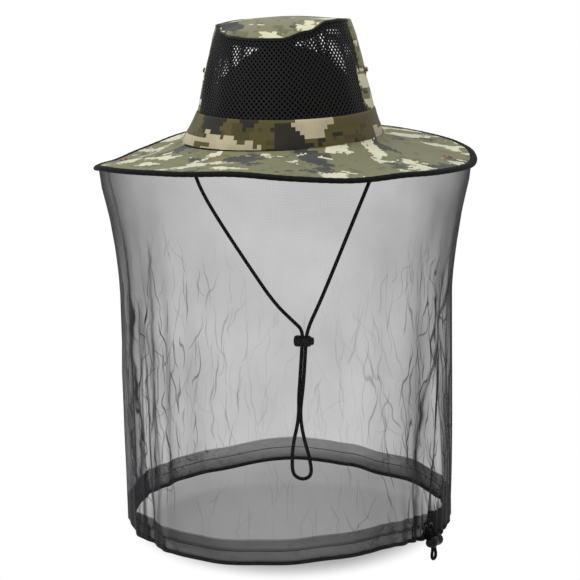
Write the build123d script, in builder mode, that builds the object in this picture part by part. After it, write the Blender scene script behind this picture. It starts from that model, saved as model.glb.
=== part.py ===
from build123d import *
from math import cos, degrees, pi, radians, sin, tan
import os

os.makedirs("parts", exist_ok=True)

# Beekeeping veil: a sun hat with a mesh crown and a wired brim, from whose edge a tube of
# insect net hangs to the shoulders. Millimetres. +Z is up, the wearer looks along -Y, and the
# origin is the centre of the head opening, in the plane where crown and brim meet.

# ---------------------------------------------------------------- driving sizes
head_radius = 95.4           # head opening, inside the sweatband: 600 mm round
crown_height = 112.0         # from the brim to the tip seam
crown_lean = 0.255           # how far the crown wall leans in, per mm of height
seat_gap = 0.3               # between layers that lie on each other
sweatband_wall = 1.5
sweatband_height = 33.0
crown_wall = 1.5
band_wall = 1.2
band_height = 31.0
strip_width = 39.0           # cloth strip up each side of the crown
tape_wall = 0.8              # tape over the tip seam, inside
tape_height = 8.0
tip_rise = 8.0               # how far the tip domes over its seam
tip_wall = 1.2
cap_wall = 1.0
cap_rise = 63.0              # inner cap, above the sweatband's top edge
label_width = 30.0           # bare size label in the sweatband
label_height = 14.0
label_wall = 0.5

brim_width = 93.5            # from the crown to the rim
brim_drop = 12.0             # fall of the brim from crown to rim
brim_seat = 2.0              # the brim's middle lies this far under the crown seam
top_cloth = 0.8
stiffener = 1.2
under_cloth = 0.8
boning_width = 1.8           # springy strip that keeps the rim round
boning_depth = 1.2
sleeve_length = 20.0         # crimp sleeve that joins the boning's ends
sleeve_wall = 0.5
sleeve_room = 0.2
binding_fold = 7.5           # how far the binding laps over the brim
binding_wall = 0.7

snap_height = 68.0           # crown studs, above the brim
snap_place = 165.0           # brim snaps, from the middle
stud_radius = 2.6
stud_base = 4.2
cap_radius = 4.6
shank_radius = 1.5
shank_clearance = 0.4

net_wall = 1.0
net_lap = 2.0                # how far in from the rim the net is sewn
veil_drop = 388.0            # from the crown seam to the hem
hem_radius = 167.0
neck_drop = 95.0             # the net draws in from the rim, fast down to here
neck_extra = 7.0             # and is still this much wider than the hem
shoulder_drop = 205.0        # below this the net hangs straight
shoulder_extra = 1.0
seam_width = 6.0
hem_height = 27.0
channel_height = 15.0
band_leaf = 0.8
hem_cord_diameter = 3.2

chin_cord_diameter = 3.5
tab_place = 11.6             # tabs under the brim, out from where its cloth starts
chin_axis_height = -13.0
tab_wall = 1.6
tab_width = 12.0
cord_clearance = 0.5
knot_reach = 5.0             # from the tab to the knot that stops the cord
knot_radius = 3.9
knot_length = 6.5
knot_rounding = 1.8

lock_diameter = 12.0
lock_length = 17.5
button_reach = 3.0
button_travel = 2.0
plunger_diameter = 8.0
plunger_clearance = 0.15
strand_gap = 0.4             # between the two strands in a lock
strand_room = 0.75           # round them, along the barrel
strand_clearance = 0.45      # and across it
lock_mouth = 2.6             # from the strands' hole to the barrel's mouth
lock_floor = 0.9
lock_rounding = 1.6
plunger_heel = 1.4
button_rounding = 1.5
spring_wire = 0.45
spring_radius = 3.0

hem_exit_angle = -26.0       # where the drawcord leaves the hem, from +X towards +Y
eyelet_rise = 10.6           # eyelets, above the hem
eyelet_gap = 1.2             # between their flanges
eyelet_clearance = 0.6       # round the cord
eyelet_rim = 1.7
eyelet_wall = 0.6
hem_lock_drop = 13.1         # lock, below the eyelets
hem_lock_reach = 7.05        # and out from the net

# ---------------------------------------------------------------- sizes that follow
wall_inner = head_radius + sweatband_wall + seat_gap
wall_outer = wall_inner + crown_wall
band_inner = wall_outer + seat_gap
tip_radius = wall_outer - crown_lean * crown_height
sewn_radius = head_radius + 1.0              # where the brim's layers start
rim_radius = sewn_radius + brim_width
layer_under = -(stiffener / 2 + seat_gap + under_cloth)
layer_stiff = -stiffener / 2
layer_top = stiffener / 2 + seat_gap
brim_top = layer_top + top_cloth
fold_low = layer_under - seat_gap
fold_high = brim_top + seat_gap
boning_start = rim_radius + seat_gap
fold_end = boning_start + boning_width + 1.0
chin_anchor = sewn_radius + tab_place
chin_start = chin_anchor + knot_reach
eyelet_height = eyelet_rise - veil_drop
eyelet_bore = hem_cord_diameter + 2 * eyelet_clearance
eyelet_flange = eyelet_bore + 2 * eyelet_rim
eyelet_spread = (eyelet_flange + eyelet_gap) / 2
BOTTOM = (Align.CENTER, Align.CENTER, Align.MIN)
TOP = (Align.CENTER, Align.CENTER, Align.MAX)


def brim_level(radius):
    """Height of the middle of the brim's thickness at a distance from the axis."""
    return -brim_seat - brim_drop * (radius - sewn_radius) / brim_width


def ring(points, mode=Mode.ADD):
    """A solid of revolution about Z from a closed outline of (radius, height) points."""
    with BuildSketch(Plane.XZ) as outline:
        with BuildLine():
            Polyline(*points, close=True)
        make_face()
    revolve(outline.sketch, axis=Axis.Z, mode=mode)


def brim_ring(low, high, inner, outer, mode=Mode.ADD):
    """A layer of the sloping brim, from low to high over the middle of its thickness."""
    ring([(inner, brim_level(inner) + low), (outer, brim_level(outer) + low),
          (outer, brim_level(outer) + high), (inner, brim_level(inner) + high)], mode)


def crown_ring(inner, wall, low, high):
    """A leaning ring of the crown: inner is its radius at the height of the brim."""
    foot = inner - crown_lean * low
    head = inner - crown_lean * high
    ring([(foot, low), (foot + wall, low), (head + wall, high), (head, high)])


def keep_box(centre, size):
    with Locations(centre):
        Box(*size, mode=Mode.INTERSECT)


def finish(builder, name):
    """Names a finished sub-part and writes its STEP file."""
    builder.part.label = name
    export_step(builder.part, f"parts/{name}.step")


# ---------------------------------------------------------------- crown
with BuildPart() as sweatband:
    crown_ring(head_radius, sweatband_wall, seat_gap, sweatband_height)
finish(sweatband, "sweatband")

crown_span = 240.0
panel_depth = (crown_span - strip_width) / 2
panel_place = (strip_width + panel_depth) / 2
crown_cuts = {
    "crown_mesh_front": ((0, -panel_place, 60), (crown_span, panel_depth, crown_span)),
    "crown_mesh_back": ((0, panel_place, 60), (crown_span, panel_depth, crown_span)),
    "crown_strip_left": ((-crown_span / 4, 0, 60), (crown_span / 2, strip_width, crown_span)),
    "crown_strip_right": ((crown_span / 4, 0, 60), (crown_span / 2, strip_width, crown_span)),
}
for name, (centre, size) in crown_cuts.items():
    with BuildPart() as crown_panel:
        crown_ring(wall_inner, crown_wall, seat_gap, crown_height)
        keep_box(centre, size)
        if "strip" in name:
            with BuildSketch(Plane.YZ):
                with Locations((0, snap_height)):
                    Circle(shank_radius + 2 * shank_clearance)
            extrude(amount=crown_span, both=True, mode=Mode.SUBTRACT)
    finish(crown_panel, name)

with BuildPart() as hat_band:
    crown_ring(band_inner, band_wall, seat_gap, band_height)
finish(hat_band, "hat_band")

tape_top = crown_height - seat_gap
with BuildPart() as seam_tape:
    crown_ring(wall_inner - seat_gap - tape_wall, tape_wall, tape_top - tape_height, tape_top)
finish(seam_tape, "seam_tape")


def dome(rim, rise, low, mode):
    """A slice of a ball: rim is its radius at the height low, rise its height over that."""
    ball = (rim ** 2 + rise ** 2) / (2 * rise)
    with BuildSketch(Plane.XZ) as slice_outline:
        with Locations((0, low + rise - ball)):
            Circle(ball)
        with Locations((0, low)):
            Rectangle(ball + 1, rise + 1, align=(Align.MIN, Align.MIN), mode=Mode.INTERSECT)
    revolve(slice_outline.sketch, axis=Axis.Z, mode=mode)


# The tip is one round of cloth, a little domed, sewn to the top of the crown wall.
tip_low = crown_height + seat_gap
with BuildPart() as crown_tip:
    dome(tip_radius, tip_rise + tip_wall, tip_low, Mode.ADD)
    dome(tip_radius - 2 * tip_wall, tip_rise, tip_low, Mode.SUBTRACT)
finish(crown_tip, "crown_tip")

# The inner cap is a lining dome that stands on the sweatband's top edge.
cap_low = sweatband_height + seat_gap
cap_foot = head_radius + sweatband_wall - crown_lean * sweatband_height - seat_gap
with BuildPart() as inner_cap:
    dome(cap_foot, cap_rise, cap_low, Mode.ADD)
    dome(cap_foot - cap_wall, cap_rise - cap_wall, cap_low, Mode.SUBTRACT)
finish(inner_cap, "inner_cap")

with BuildPart() as size_label:
    crown_ring(head_radius - seat_gap - label_wall, label_wall, 5, 5 + label_height)
    keep_box((0, head_radius, 12), (label_width, 60, 60))
finish(size_label, "size_label")

# ---------------------------------------------------------------- brim
brim_cloths = {
    "brim_top_cloth": (layer_top, top_cloth),
    "brim_stiffener": (layer_stiff, stiffener),
    "brim_under_cloth": (layer_under, under_cloth),
}
for name, (low, thickness) in brim_cloths.items():
    with BuildPart() as brim_cloth:
        brim_ring(low, low + thickness, sewn_radius, rim_radius)
        with Locations((-snap_place, 0, 0), (snap_place, 0, 0)):
            Cylinder(shank_radius + 2 * shank_clearance, 120, mode=Mode.SUBTRACT)
    finish(brim_cloth, name)

with BuildPart() as brim_boning:
    brim_ring(-boning_depth / 2, boning_depth / 2, boning_start, boning_start + boning_width)
finish(brim_boning, "brim_boning")

room_low = -boning_depth / 2 - sleeve_room
room_end = boning_start + boning_width + sleeve_room
with BuildPart() as boning_sleeve:
    brim_ring(room_low - sleeve_wall, sleeve_wall - room_low, boning_start, room_end + sleeve_wall)
    brim_ring(room_low, -room_low, boning_start - 1, room_end, Mode.SUBTRACT)
    keep_box((0, rim_radius, 0), (sleeve_length, 60, 120))
finish(boning_sleeve, "boning_sleeve")

with BuildPart() as brim_binding:
    brim_ring(fold_low - binding_wall, fold_high + binding_wall,
              rim_radius - binding_fold, fold_end + binding_wall)
    brim_ring(fold_low, fold_high, rim_radius - binding_fold - 1, fold_end, Mode.SUBTRACT)
finish(brim_binding, "brim_binding")

# ---------------------------------------------------------------- snaps
stud_seat = wall_outer - crown_lean * snap_height + seat_gap
snap_slope = brim_level(snap_place + 1) - brim_level(snap_place)
shank_reach = crown_wall + 2 * seat_gap
for side, sign in (("left", -1), ("right", 1)):
    stud_plane = Plane(origin=(sign * stud_seat, 0, snap_height), x_dir=(0, 1, 0),
                       z_dir=(sign, 0, crown_lean))
    with BuildPart(stud_plane) as crown_stud:
        Cylinder(stud_base, 0.8, align=BOTTOM)
        with Locations((0, 0, 0.4)):
            Cylinder(stud_radius, 2.6, align=BOTTOM)
            Cylinder(shank_radius, shank_reach + 0.8, align=TOP)
        with Locations((0, 0, -shank_reach)):
            Cylinder(stud_base, 0.6, align=TOP)
    finish(crown_stud, f"crown_stud_{side}")

    snap_plane = Plane(origin=(sign * snap_place, 0, brim_level(snap_place)), x_dir=(0, 1, 0),
                       z_dir=(-sign * snap_slope, 0, 1))
    with BuildPart(snap_plane) as brim_snap:
        with Locations((0, 0, brim_top + seat_gap)):
            Cylinder(cap_radius, 1.3, align=BOTTOM)
        with Locations((0, 0, brim_top + seat_gap + 0.3)):
            Cylinder(shank_radius, brim_top - layer_under + 2 * seat_gap + 0.6, align=TOP)
    finish(brim_snap, f"brim_snap_{side}")

    with BuildPart(snap_plane) as snap_socket:
        with Locations((0, 0, layer_under - seat_gap)):
            Cylinder(cap_radius, 2.4, align=TOP)
            Cylinder(shank_radius + 0.1, 2.4, align=TOP, mode=Mode.SUBTRACT)
        with Locations((0, 0, layer_under - seat_gap - 1.0)):
            Cylinder(stud_radius + 0.1, 2.4, align=TOP, mode=Mode.SUBTRACT)
    finish(snap_socket, f"snap_socket_{side}")

# ---------------------------------------------------------------- veil
net_top_radius = rim_radius - net_lap
net_top = brim_level(net_top_radius) + fold_low - binding_wall - seat_gap
hem_bottom = -veil_drop
net_lean = brim_drop / brim_width * net_wall


def net_side(inset):
    """The net's outline on one face: a long curve in from the rim, then nearly straight."""
    return [(net_top_radius - inset, net_top + inset * net_lean),
            (hem_radius + neck_extra - inset, -neck_drop),
            (hem_radius + shoulder_extra - inset, -shoulder_drop),
            (hem_radius - inset, hem_bottom)]


def radial_plane(angle, radius, height):
    """A plane square to a radius: its normal points outwards and its own Y is up."""
    outward = Vector(cos(radians(angle)), sin(radians(angle)), 0)
    sideways = Vector(-sin(radians(angle)), cos(radians(angle)), 0)
    return Plane(origin=outward * radius + Vector(0, 0, height), x_dir=sideways, z_dir=outward)


eyelet_turn = degrees(eyelet_spread / hem_radius)
eyelet_angles = (hem_exit_angle - eyelet_turn, hem_exit_angle + eyelet_turn)
half_seam = seam_width / 2
reach = 260.0
veil_cuts = {
    "veil_net_front": ((0, -half_seam - reach / 2, -150), (2 * reach, reach, 700)),
    "veil_net_back": ((0, half_seam + reach / 2, -150), (2 * reach, reach, 700)),
    "veil_seam_left": ((-reach / 2, 0, -150), (reach, seam_width, 700)),
    "veil_seam_right": ((reach / 2, 0, -150), (reach, seam_width, 700)),
}
for name, (centre, size) in veil_cuts.items():
    with BuildPart() as veil_panel:
        with BuildSketch(Plane.XZ):
            with BuildLine():
                outside = net_side(0)
                inside = net_side(net_wall)
                ThreePointArc(*outside[:3])
                Polyline(outside[2], outside[3], inside[3], inside[2])
                ThreePointArc(*inside[:3])
                Line(inside[0], outside[0])
            make_face()
        revolve(axis=Axis.Z)
        keep_box(centre, size)
        if name == "veil_net_front":
            for angle in eyelet_angles:
                with BuildSketch(radial_plane(angle, hem_radius - 5, eyelet_height)):
                    Circle(eyelet_bore / 2 + eyelet_wall + seat_gap)
                extrude(amount=10, mode=Mode.SUBTRACT)
    finish(veil_panel, name)

# ---------------------------------------------------------------- hem
hem_inside = hem_radius - net_wall
channel_inner = hem_inside - 2 * seat_gap - hem_cord_diameter
hem_top = hem_bottom - seat_gap
leaf_out = hem_inside - seat_gap
leaf_in = channel_inner - band_leaf
with BuildPart() as hem_band:
    ring([(hem_radius, hem_top), (channel_inner, hem_top),
          (channel_inner, hem_top + channel_height - 3), (leaf_out, hem_top + channel_height + 2),
          (leaf_out, hem_top + hem_height), (leaf_out - band_leaf, hem_top + hem_height),
          (leaf_out - band_leaf, hem_top + channel_height + 2.5),
          (leaf_in, hem_top + channel_height - 2.5), (leaf_in, hem_top - band_leaf),
          (hem_radius, hem_top - band_leaf)])
finish(hem_band, "hem_band")

channel_centre = hem_inside - seat_gap - hem_cord_diameter / 2
channel_level = hem_top + seat_gap + hem_cord_diameter / 2
with BuildPart() as hem_cord_in_channel:
    with BuildSketch(Plane.XZ):
        with Locations((channel_centre, channel_level)):
            Circle(hem_cord_diameter / 2)
    revolve(axis=Axis.Z)
finish(hem_cord_in_channel, "hem_cord_in_channel")

with BuildPart() as hem_eyelets:
    for angle in eyelet_angles:
        for start, length, radius in ((-0.4 - 1.1, 1.8, eyelet_bore / 2 + eyelet_wall),
                                      (0.3, 0.6, eyelet_flange / 2)):
            with BuildSketch(radial_plane(angle, hem_radius + start, eyelet_height)):
                Circle(radius)
            extrude(amount=length)
        with BuildSketch(radial_plane(angle, hem_radius - 5, eyelet_height)):
            Circle(eyelet_bore / 2)
        extrude(amount=10, mode=Mode.SUBTRACT)
finish(hem_eyelets, "hem_eyelets")

# ---------------------------------------------------------------- cords
# Routes are lists of points, each tube a row of straight runs joined by tangent arcs.
chin_route = [
    (-chin_start, 0, chin_axis_height), (-103.5, 0, chin_axis_height), (-97.3, 0, -19.5),
    (-92.5, 0, -33),
    (-84.5, 0, -55), (-66, 0, -87), (-41, 0, -126), (-13, 0, -168.5), (7, 0, -188),
    (16.65, 0, -197), (15.15, 0, -217), (12.6, 0, -250), (11.2, -1.7, -267),
    (11.3, -2.2, -283), (8.9, -1.0, -299), (4.8, 0, -315), (2.8, 0, -331.5),
    (2.7, 0, -349.5), (8.8, 0, -355.4), (17.2, 0, -355.8), (23.3, 0, -349.9),
    (21.3, 0, -333),
    (16.4, 0, -315), (13.1, 1.0, -299), (12.0, 2.2, -283), (14.2, 1.7, -267),
    (16.5, 0, -250), (19.05, 0, -217), (20.55, 0, -197), (34.5, 0, -168), (52, 0, -126.5),
    (69.6, 0, -84), (83.5, 0, -51), (91.5, 0, -32), (97.3, 0, -19.5),
    (103.5, 0, chin_axis_height), (chin_start, 0, chin_axis_height),
]
# Half of the drawcord's tail from its eyelet: along the hem, out from the net, and height.
tail_half = [
    (4.5, -3.6, 0), (4.3, 2.5, -0.3), (3.1, 6.3, -4.0), (2.05, 7.0, -10.1),
    (1.95, 7.1, -21.4), (3.6, 7.2, -25.2), (3.6, 7.2, -29.2), (1.49, 7.2, -31.3),
]


def out_of_hem(along, outward, height):
    turn = radians(hem_exit_angle)
    radius = hem_radius + outward
    return (radius * cos(turn) - along * sin(turn), radius * sin(turn) + along * cos(turn),
            eyelet_height + height)


tail_route = [out_of_hem(*point) for point in tail_half]
tail_route += [out_of_hem(-along, out, height) for along, out, height in reversed(tail_half)]


def corner_radii(route):
    """The arc at each corner: 0.45 of the shorter run over the tangent of half the turn."""
    points = [Vector(*p) for p in route]
    radii = []
    for before, here, after in zip(points, points[1:], points[2:]):
        turn = radians((here - before).get_angle(after - here))
        shorter = min((here - before).length, (after - here).length)
        radii.append(0.45 * shorter / tan(turn / 2))
    return radii


cords = {
    "chin_cord": (chin_route, chin_cord_diameter),
    "hem_cord_tail": (tail_route, hem_cord_diameter),
}
for name, (route, diameter) in cords.items():
    radii = corner_radii(route)
    start = Vector(*route[0])
    with BuildPart() as cord:
        with BuildLine() as path:
            FilletPolyline(*route, radius=radii)
        with BuildSketch(Plane(origin=start, z_dir=Vector(*route[1]) - start)):
            Circle(diameter / 2)
        sweep(path=path.wires()[0])
    length = path.wires()[0].length
    print(name, "length", round(length, 1), "volume over section",
          round(cord.part.volume / (pi * diameter ** 2 / 4), 1))
    print("  least radii in diameters", [round(r / diameter, 1) for r in sorted(radii)[:6]])
    finish(cord, name)

# ---------------------------------------------------------------- chin tabs and knots
tab_top = brim_level(chin_anchor + tab_wall) + layer_under - seat_gap
for side, sign in (("left", -1), ("right", 1)):
    with BuildPart() as chin_tab:
        with BuildSketch(Plane.YZ.offset(sign * chin_anchor)):
            with Locations((0, chin_axis_height)):
                Circle(tab_width / 2)
                Rectangle(tab_width, tab_top - chin_axis_height, align=(Align.CENTER, Align.MIN))
                Circle(chin_cord_diameter / 2 + cord_clearance, mode=Mode.SUBTRACT)
        extrude(amount=tab_wall / 2, both=True)
    finish(chin_tab, f"chin_tab_{side}")

    knot_face = Plane(origin=(sign * chin_start, 0, chin_axis_height), x_dir=(0, 1, 0),
                      z_dir=(sign, 0, 0))
    with BuildPart(knot_face) as chin_knot:
        Cylinder(knot_radius, knot_length, align=BOTTOM)
        fillet(chin_knot.edges().filter_by(GeomType.CIRCLE), knot_rounding)
    finish(chin_knot, f"chin_knot_{side}")

# ---------------------------------------------------------------- cord locks
# A barrel with a sprung plunger: the two strands pass through both, pressed by the plunger.
turn = radians(hem_exit_angle)
hem_lock_out = hem_radius + hem_lock_reach
hem_lock_centre = (hem_lock_out * cos(turn), hem_lock_out * sin(turn),
                   eyelet_height - hem_lock_drop)
locks = {
    "chin_lock": (Plane(origin=(17.85, 0, -208.2), x_dir=(0, 1, 0), z_dir=(1, 0, 0)),
                  chin_cord_diameter),
    "hem_lock": (Plane(origin=hem_lock_centre, x_dir=(cos(turn), sin(turn), 0),
                       z_dir=(sin(turn), -cos(turn), 0)), hem_cord_diameter),
}
bore_radius = plunger_diameter / 2 + plunger_clearance
for name, (plane, strand) in locks.items():
    slot_length = 2 * strand + strand_gap + 2 * strand_room
    slot_depth = strand + 2 * strand_clearance
    barrel_mouth = slot_length / 2 + lock_mouth
    barrel_back = barrel_mouth - lock_length
    bore_back = barrel_back + lock_floor
    plunger_back = -slot_length / 2 - plunger_heel
    across = Plane(origin=plane.origin, x_dir=plane.z_dir, z_dir=(0, 0, 1))
    with BuildPart(plane) as lock_body:
        with Locations((0, 0, barrel_back)):
            Cylinder(lock_diameter / 2, lock_length, align=BOTTOM)
        fillet(lock_body.edges().filter_by(GeomType.CIRCLE), lock_rounding)
        with Locations((0, 0, bore_back)):
            Cylinder(bore_radius, lock_length, align=BOTTOM, mode=Mode.SUBTRACT)
        with BuildSketch(across):
            Rectangle(slot_length, slot_depth)
        extrude(amount=lock_diameter, both=True, mode=Mode.SUBTRACT)
    finish(lock_body, f"{name}_body")

    with BuildPart(plane) as lock_plunger:
        with Locations((0, 0, plunger_back)):
            Cylinder(plunger_diameter / 2, barrel_mouth + button_reach - plunger_back,
                     align=BOTTOM)
        rims = lock_plunger.edges().filter_by(GeomType.CIRCLE)
        pressed = rims.sort_by(lambda edge: (edge.center() - plane.origin).dot(plane.z_dir))[-1]
        fillet(pressed, button_rounding)
        with BuildSketch(across):
            with Locations((button_travel / 2, 0)):
                Rectangle(slot_length + button_travel, slot_depth)
        extrude(amount=lock_diameter, both=True, mode=Mode.SUBTRACT)
    finish(lock_plunger, f"{name}_plunger")

    spring_length = plunger_back - bore_back - 2 * seat_gap
    with BuildPart(plane) as lock_spring:
        with Locations((0, 0, bore_back + seat_gap)):
            Cylinder(spring_radius, spring_length, align=BOTTOM)
            Cylinder(spring_radius - spring_wire, spring_length, align=BOTTOM,
                     mode=Mode.SUBTRACT)
    finish(lock_spring, f"{name}_spring")
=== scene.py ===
import math

import bpy
from mathutils import Matrix, Vector, noise


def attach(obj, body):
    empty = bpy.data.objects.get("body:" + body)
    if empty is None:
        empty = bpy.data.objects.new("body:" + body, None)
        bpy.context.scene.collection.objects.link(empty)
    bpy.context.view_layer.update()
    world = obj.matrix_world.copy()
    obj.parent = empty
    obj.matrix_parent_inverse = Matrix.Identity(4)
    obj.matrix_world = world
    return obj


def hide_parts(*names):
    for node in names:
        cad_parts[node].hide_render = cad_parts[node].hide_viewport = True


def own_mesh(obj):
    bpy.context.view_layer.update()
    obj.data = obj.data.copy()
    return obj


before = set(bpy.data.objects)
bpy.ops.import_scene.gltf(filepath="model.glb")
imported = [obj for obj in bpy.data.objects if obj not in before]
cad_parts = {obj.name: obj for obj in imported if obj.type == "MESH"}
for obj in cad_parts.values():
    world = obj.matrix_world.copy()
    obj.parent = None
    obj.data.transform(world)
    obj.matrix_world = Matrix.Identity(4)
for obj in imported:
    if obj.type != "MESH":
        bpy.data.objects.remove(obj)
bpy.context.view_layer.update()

# ---------------------------------------------------------------------------------------------
# Sweatband and size label. The band is a soft black strip folded over a core and sewn inside
# the foot of the crown; the label is a bare scrap of woven tape caught under its seam.
# ---------------------------------------------------------------------------------------------


def name_piece(name, smooth=40):
    """Names the piece that is active and rounds its shading, except over sharp edges."""
    piece = bpy.context.active_object
    piece.name = name
    piece.data.name = name
    bpy.ops.object.select_all(action="DESELECT")
    piece.select_set(True)
    bpy.ops.object.shade_smooth_by_angle(angle=math.radians(smooth))
    piece.select_set(False)
    return piece


def spin_strip(name, outline, steps=180, closed=True, smooth=40):
    """Spins an outline of (radius, height) points round the hat's axis."""
    bpy.ops.object.select_all(action="DESELECT")
    bpy.ops.mesh.primitive_circle_add(vertices=len(outline), radius=0.01)
    strip = bpy.context.active_object
    for point, (radius, height) in zip(strip.data.vertices, outline):
        point.co = (radius, 0, height)
    if not closed:
        ends = {0, len(outline) - 1}
        pick(strip, "EDGE", lambda edge: set(edge.vertices) == ends)
        bpy.ops.mesh.delete(type="EDGE_FACE")
        bpy.ops.object.mode_set(mode="OBJECT")
    bpy.ops.object.mode_set(mode="EDIT")
    bpy.ops.mesh.select_mode(type="VERT")
    bpy.ops.mesh.select_all(action="SELECT")
    bpy.ops.mesh.spin(steps=steps, angle=2 * math.pi, center=(0, 0, 0), axis=(0, 0, 1))
    bpy.ops.mesh.select_all(action="SELECT")
    bpy.ops.mesh.remove_doubles(threshold=1e-6)
    bpy.ops.mesh.normals_make_consistent(inside=False)
    bpy.ops.object.mode_set(mode="OBJECT")
    return name_piece(name, smooth)


def pick(piece, kind, wanted):
    """Selects the edges or faces that are wanted, and leaves the piece in edit mode."""
    bpy.context.view_layer.objects.active = piece
    bpy.ops.object.mode_set(mode="EDIT")
    bpy.ops.mesh.select_mode(type=kind)
    bpy.ops.mesh.select_all(action="DESELECT")
    bpy.ops.object.mode_set(mode="OBJECT")
    for part in piece.data.edges if kind == "EDGE" else piece.data.polygons:
        part.select = wanted(part)
    bpy.ops.object.mode_set(mode="EDIT")


def angle_of(point):
    return math.atan2(point.y, point.x)


def at_turn(radius, turn, height):
    """The point at this radius, turned so far round the hat's axis, at this height."""
    return Vector((radius * math.cos(turn), radius * math.sin(turn), height))


def clamp(value):
    return min(1.0, max(0.0, value))


def thicken(piece, thickness, offset=-1):
    """Gives a sheet its thickness, inwards at an offset of -1 and outwards at 1."""
    wall = piece.modifiers.new("thickness", "SOLIDIFY")
    wall.thickness = thickness
    wall.offset = offset
    bpy.context.view_layer.objects.active = piece
    bpy.ops.object.modifier_apply(modifier="thickness")


def turned(points, degrees):
    """A height or width read off (degrees, value) points that go once round the hat."""
    spot = degrees % 360
    ring = sorted((d % 360, value) for d, value in points)
    ring = [(ring[-1][0] - 360, ring[-1][1])] + ring + [(ring[0][0] + 360, ring[0][1])]
    for (low, before), (high, after) in zip(ring, ring[1:]):
        if low <= spot <= high and high > low:
            share = (spot - low) / (high - low)
            share = share * share * (3 - 2 * share)
            return before + (after - before) * share
    return ring[0][1]


def tone(red, green, blue, alpha=1.0):
    """A colour off a paint chart, from 0 to 255, as the shader needs it."""
    linear = []
    for value in (red, green, blue):
        share = value / 255
        linear.append(share / 12.92 if share < 0.04045 else ((share + 0.055) / 1.055) ** 2.4)
    return (*linear, alpha)


def add_node(tree, kind, inputs=None, **settings):
    """Adds a node; inputs are values or the sockets of other nodes, by name or number."""
    node = tree.nodes.new(kind)
    for setting, value in settings.items():
        setattr(node, setting, value)
    for socket, value in (inputs or {}).items():
        if isinstance(value, bpy.types.NodeSocket):
            tree.links.new(value, node.inputs[socket])
        else:
            node.inputs[socket].default_value = value
    return node


def start_group(name, inputs, outputs):
    """An empty shader node group with (name, kind, value) inputs and (name, kind) outputs."""
    group = bpy.data.node_groups.new(name, "ShaderNodeTree")
    for label, kind, value in inputs:
        socket = group.interface.new_socket(label, in_out="INPUT", socket_type=kind)
        if value is not None:
            socket.default_value = value
    for label, kind in outputs:
        group.interface.new_socket(label, in_out="OUTPUT", socket_type=kind)
    return group, group.nodes.new("NodeGroupInput"), group.nodes.new("NodeGroupOutput")


def place_group(tree, group, inputs):
    return add_node(tree, "ShaderNodeGroup", inputs, node_tree=group)


def start_material(name, **values):
    """A material with its Principled shader, which takes the values that are the same all over."""
    material = bpy.data.materials.new(name)
    material.use_nodes = True
    shader = material.node_tree.nodes["Principled BSDF"]
    for label, value in values.items():
        socket = label.replace("_", " ").title().replace("Ior", "IOR")
        shader.inputs[socket].default_value = value
    return material, material.node_tree, shader


def mix_colours(tree, share, first, second):
    """The socket of a colour that goes from the first to the second as share goes from 0 to 1."""
    return add_node(tree, "ShaderNodeMix", {0: share, 6: first, 7: second},
                    data_type="RGBA").outputs[2]


def reckon(tree, operation, *values, **settings):
    """The socket of one step of arithmetic on numbers or the sockets of other nodes."""
    return add_node(tree, "ShaderNodeMath", dict(enumerate(values)), operation=operation,
                    **settings).outputs[0]


def clouds(tree, place, scale, detail=2.0):
    """The socket of soft noise, from 0 to 1."""
    return add_node(tree, "ShaderNodeTexNoise",
                    {"Vector": place, "Scale": scale, "Detail": detail}).outputs["Fac"]


# Threads over and under each other, as a height from 0 to 1.
weave, weave_in, weave_out = start_group(
    "plain weave",
    [("Vector", "NodeSocketVector", None), ("Pitch", "NodeSocketFloat", 0.0006)],
    [("Height", "NodeSocketFloat"), ("Fleck", "NodeSocketFloat")])
turns = reckon(weave, "DIVIDE", 2 * math.pi, weave_in.outputs["Pitch"])
laid = add_node(weave, "ShaderNodeVectorMath",
                {0: weave_in.outputs["Vector"], "Scale": turns}, operation="SCALE")
sides = add_node(weave, "ShaderNodeSeparateXYZ", {0: laid.outputs[0]})
crossed = reckon(weave, "MULTIPLY", reckon(weave, "SINE", sides.outputs["X"]),
                 reckon(weave, "SINE", sides.outputs["Y"]))
weave.links.new(reckon(weave, "MULTIPLY_ADD", crossed, 0.5, 0.5), weave_out.inputs["Height"])
weave.links.new(clouds(weave, weave_in.outputs["Vector"], 900.0), weave_out.inputs["Fleck"])


def woven(name, colour, shade, pitch=0.0006, roughness=0.85, sheen=0.2, bump=0.35):
    """A plain woven cloth of one colour, a little uneven from thread to thread."""
    material, tree, shader = start_material(name, roughness=roughness, sheen_weight=sheen,
                                            specular_ior_level=0.15)
    place = add_node(tree, "ShaderNodeTexCoord")
    cloth = place_group(tree, weave, {"Vector": place.outputs["Object"], "Pitch": pitch})
    wear = clouds(tree, place.outputs["Object"], 55.0, 4.0)
    uneven = reckon(tree, "MULTIPLY", cloth.outputs["Fleck"], wear)
    lift = add_node(tree, "ShaderNodeBump",
                    {"Height": cloth.outputs["Height"], "Strength": bump, "Distance": 0.0002})
    tree.links.new(mix_colours(tree, uneven, shade, colour), shader.inputs["Base Color"])
    tree.links.new(lift.outputs["Normal"], shader.inputs["Normal"])
    return material


# The outside of the crown's wall, as heights over the head opening and the radius there.
CROWN_SIDE = [(0.0, 0.0985), (0.016, 0.0938), (0.028, 0.0906), (0.053, 0.0852),
              (0.077, 0.0797), (0.101, 0.0738), (0.114, 0.0694), (0.125, 0.064)]
PRESSED_IN = 0.0068


def crown_radius(height):
    for (low, wide), (high, narrow) in zip(CROWN_SIDE, CROWN_SIDE[1:]):
        if height <= high:
            return wide + (narrow - wide) * (height - low) / (high - low)
    return CROWN_SIDE[-1][1]


def seam_lift(angle):
    """How far the seam between crown and brim lies over the level of the head opening."""
    return -0.0004 + 0.0014 * math.cos(angle) + 0.0012 * math.sin(angle)


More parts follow.
